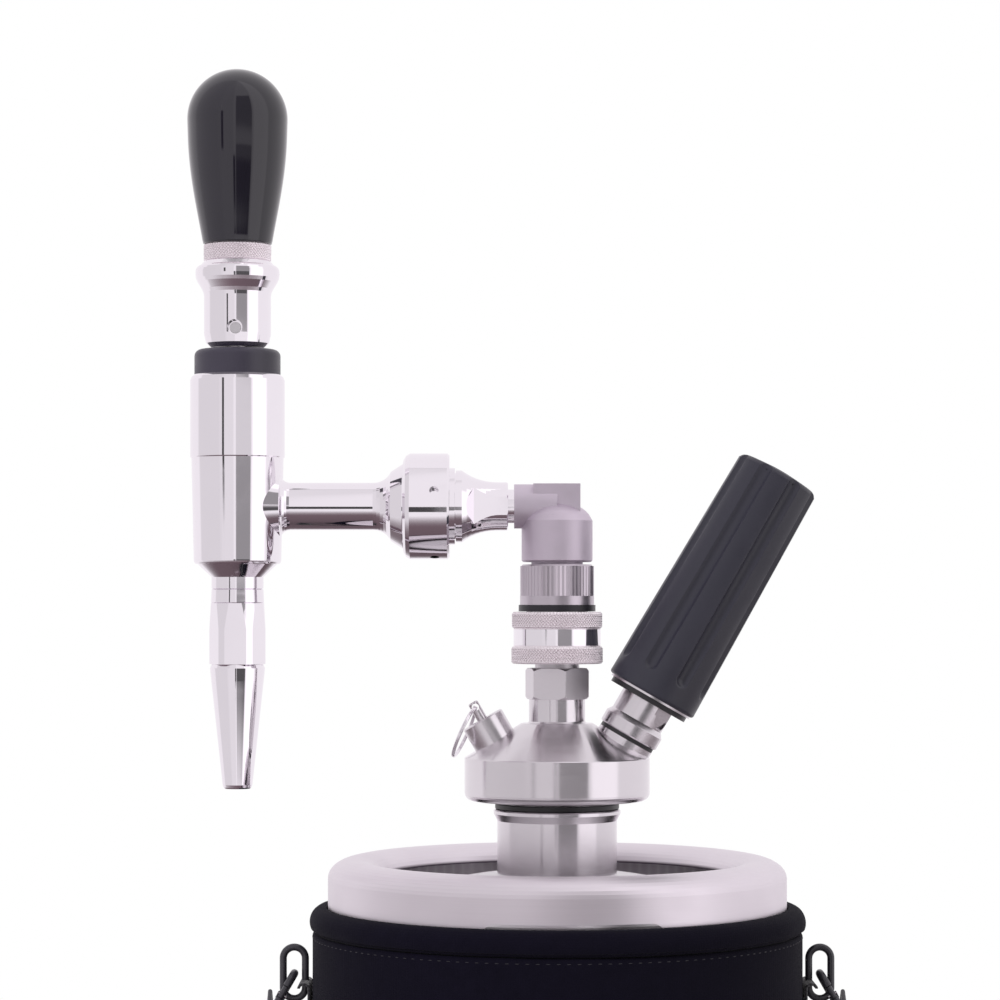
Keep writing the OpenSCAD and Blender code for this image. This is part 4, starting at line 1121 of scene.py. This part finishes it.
# Patches of the studio round the object, as (low, high, softness) in degrees. Azimuth is 0 straight
# ahead of the object, on the user's side, and grows to the right. Elevation is 0 at the horizon.
DARK_AHEAD = (1, 38, 1.0)
DARK_HEIGHT = (-15, 47, 2)
PALE_GAP = (0.6, 4.8, 0.5)
BLACK_BELOW = (-15, -4, 1.5)
LOW_LINE = (-5.5, -0.5, 0.8)
LOW_LINE_HEIGHT = (-14, -3, 0.5)
HIGH_LINE = (-33, -28, 0.8)
HIGH_LINE_HEIGHT = (-0.5, 12, 0.5)
BRIGHT_RIGHT = (42, 80, 3)
DIM_LEFT = (-105, -38, 4)
DIM_NEAR = (-38, -5, 2)

# How strong each patch is, as a share of the studio's plain level
PLAIN = 0.98
DARK_SHARE = 0.66
GAP_SHARE = 0.42
BLACK_SHARE = 0.24
LINE_SHARE = 0.93
BRIGHT_SHARE = 0.32
LEFT_SHARE = 0.19
NEAR_SHARE = 0.12
STUDIO_TINT = (1.0, 0.965, 1.0)

world = bpy.data.worlds.new("studio")
bpy.context.scene.world = world
world.use_nodes = True
sky = Graph(world.node_tree)
direction = sky.add("ShaderNodeTexCoord").outputs["Generated"]
view_parts = sky.add("ShaderNodeSeparateXYZ", {"Vector": direction}).outputs
toward = sky.math("MULTIPLY", view_parts["Y"], -1.0)
azimuth = sky.math("ARCTAN2", view_parts["X"], toward)
elevation = sky.math("ARCSINE", view_parts["Z"])


def strip(value, low, high, soft):
    """1 between low and high degrees, and 0 outside, with soft edges."""
    rise = sky.ramp(value, math.radians(low - soft), math.radians(low + soft), 0.0, 1.0)
    fall = sky.ramp(value, math.radians(high - soft), math.radians(high + soft), 1.0, 0.0)
    return sky.math("MULTIPLY", rise, fall)


def patch(across, up):
    """1 inside a patch of the studio, given its azimuths and elevations."""
    return sky.math("MULTIPLY", strip(azimuth, *across), strip(elevation, *up))


def without(value, share, cover):
    """value lowered by share of itself where cover is 1."""
    return sky.math("MULTIPLY", value, sky.math("SUBTRACT", 1.0, sky.math("MULTIPLY", cover, share)))


gap = sky.math("MULTIPLY", strip(elevation, *PALE_GAP), GAP_SHARE)
below = sky.math("MULTIPLY", strip(elevation, *BLACK_BELOW), BLACK_SHARE)
depth = sky.math("MULTIPLY", strip(elevation, *DARK_HEIGHT), DARK_SHARE)
depth = sky.math("ADD", sky.math("SUBTRACT", depth, gap), below)
dark = sky.math("MULTIPLY", strip(azimuth, *DARK_AHEAD), depth)
lines = sky.math("ADD", patch(LOW_LINE, LOW_LINE_HEIGHT), patch(HIGH_LINE, HIGH_LINE_HEIGHT))
level = sky.math("ADD", PLAIN, sky.math("MULTIPLY", strip(azimuth, *BRIGHT_RIGHT), BRIGHT_SHARE))
level = sky.math("SUBTRACT", level, sky.math("MULTIPLY", strip(azimuth, *DIM_LEFT), LEFT_SHARE))
level = sky.math("SUBTRACT", level, sky.math("MULTIPLY", strip(azimuth, *DIM_NEAR), NEAR_SHARE))
level = without(level, 1.0, dark)
level = without(level, LINE_SHARE, lines)
tint = sky.add("ShaderNodeVectorMath", {0: STUDIO_TINT, "Scale": level}, operation="SCALE")
seen = sky.add("ShaderNodeLightPath").outputs["Is Camera Ray"]
background = world.node_tree.nodes["Background"]
sky.put(background.inputs["Color"], sky.mix(seen, tint.outputs["Vector"], (1, 1, 1, 1)))
background.inputs["Strength"].default_value = 1.0


def softbox(name, location, target, size, energy):
    """A soft light that adds shape without showing in the polished steel."""
    data = bpy.data.lights.new(name, "AREA")
    data.size = size
    data.energy = energy
    made = bpy.data.objects.new(name, data)
    bpy.context.scene.collection.objects.link(made)
    made.location = location
    made.rotation_euler = (Vector(target) - Vector(location)).to_track_quat("-Z", "Y").to_euler()
    made.visible_glossy = False


softbox("key_light", (-0.8, -0.8, 1.0), (0, 0, 0.3), size=0.4, energy=15.0)
softbox("fill_light", (0.9, -0.5, 0.7), (0, 0, 0.25), size=0.8, energy=2.0)

# ---------------------------------------------------------------- camera

LENS = 108
SENSOR = 36
SHIFT_UP = 0.1
CAMERA_AT = (-0.0222, -1.167, 0.3464)

camera_data = bpy.data.cameras.new("camera")
camera_data.lens = LENS
camera_data.sensor_width = SENSOR
camera_data.shift_y = SHIFT_UP
camera = bpy.data.objects.new("camera", camera_data)
bpy.context.scene.collection.objects.link(camera)
camera.location = CAMERA_AT
camera.rotation_euler = (math.radians(90), 0, 0)
bpy.context.scene.camera = camera
bpy.context.scene.view_settings.view_transform = "Standard"
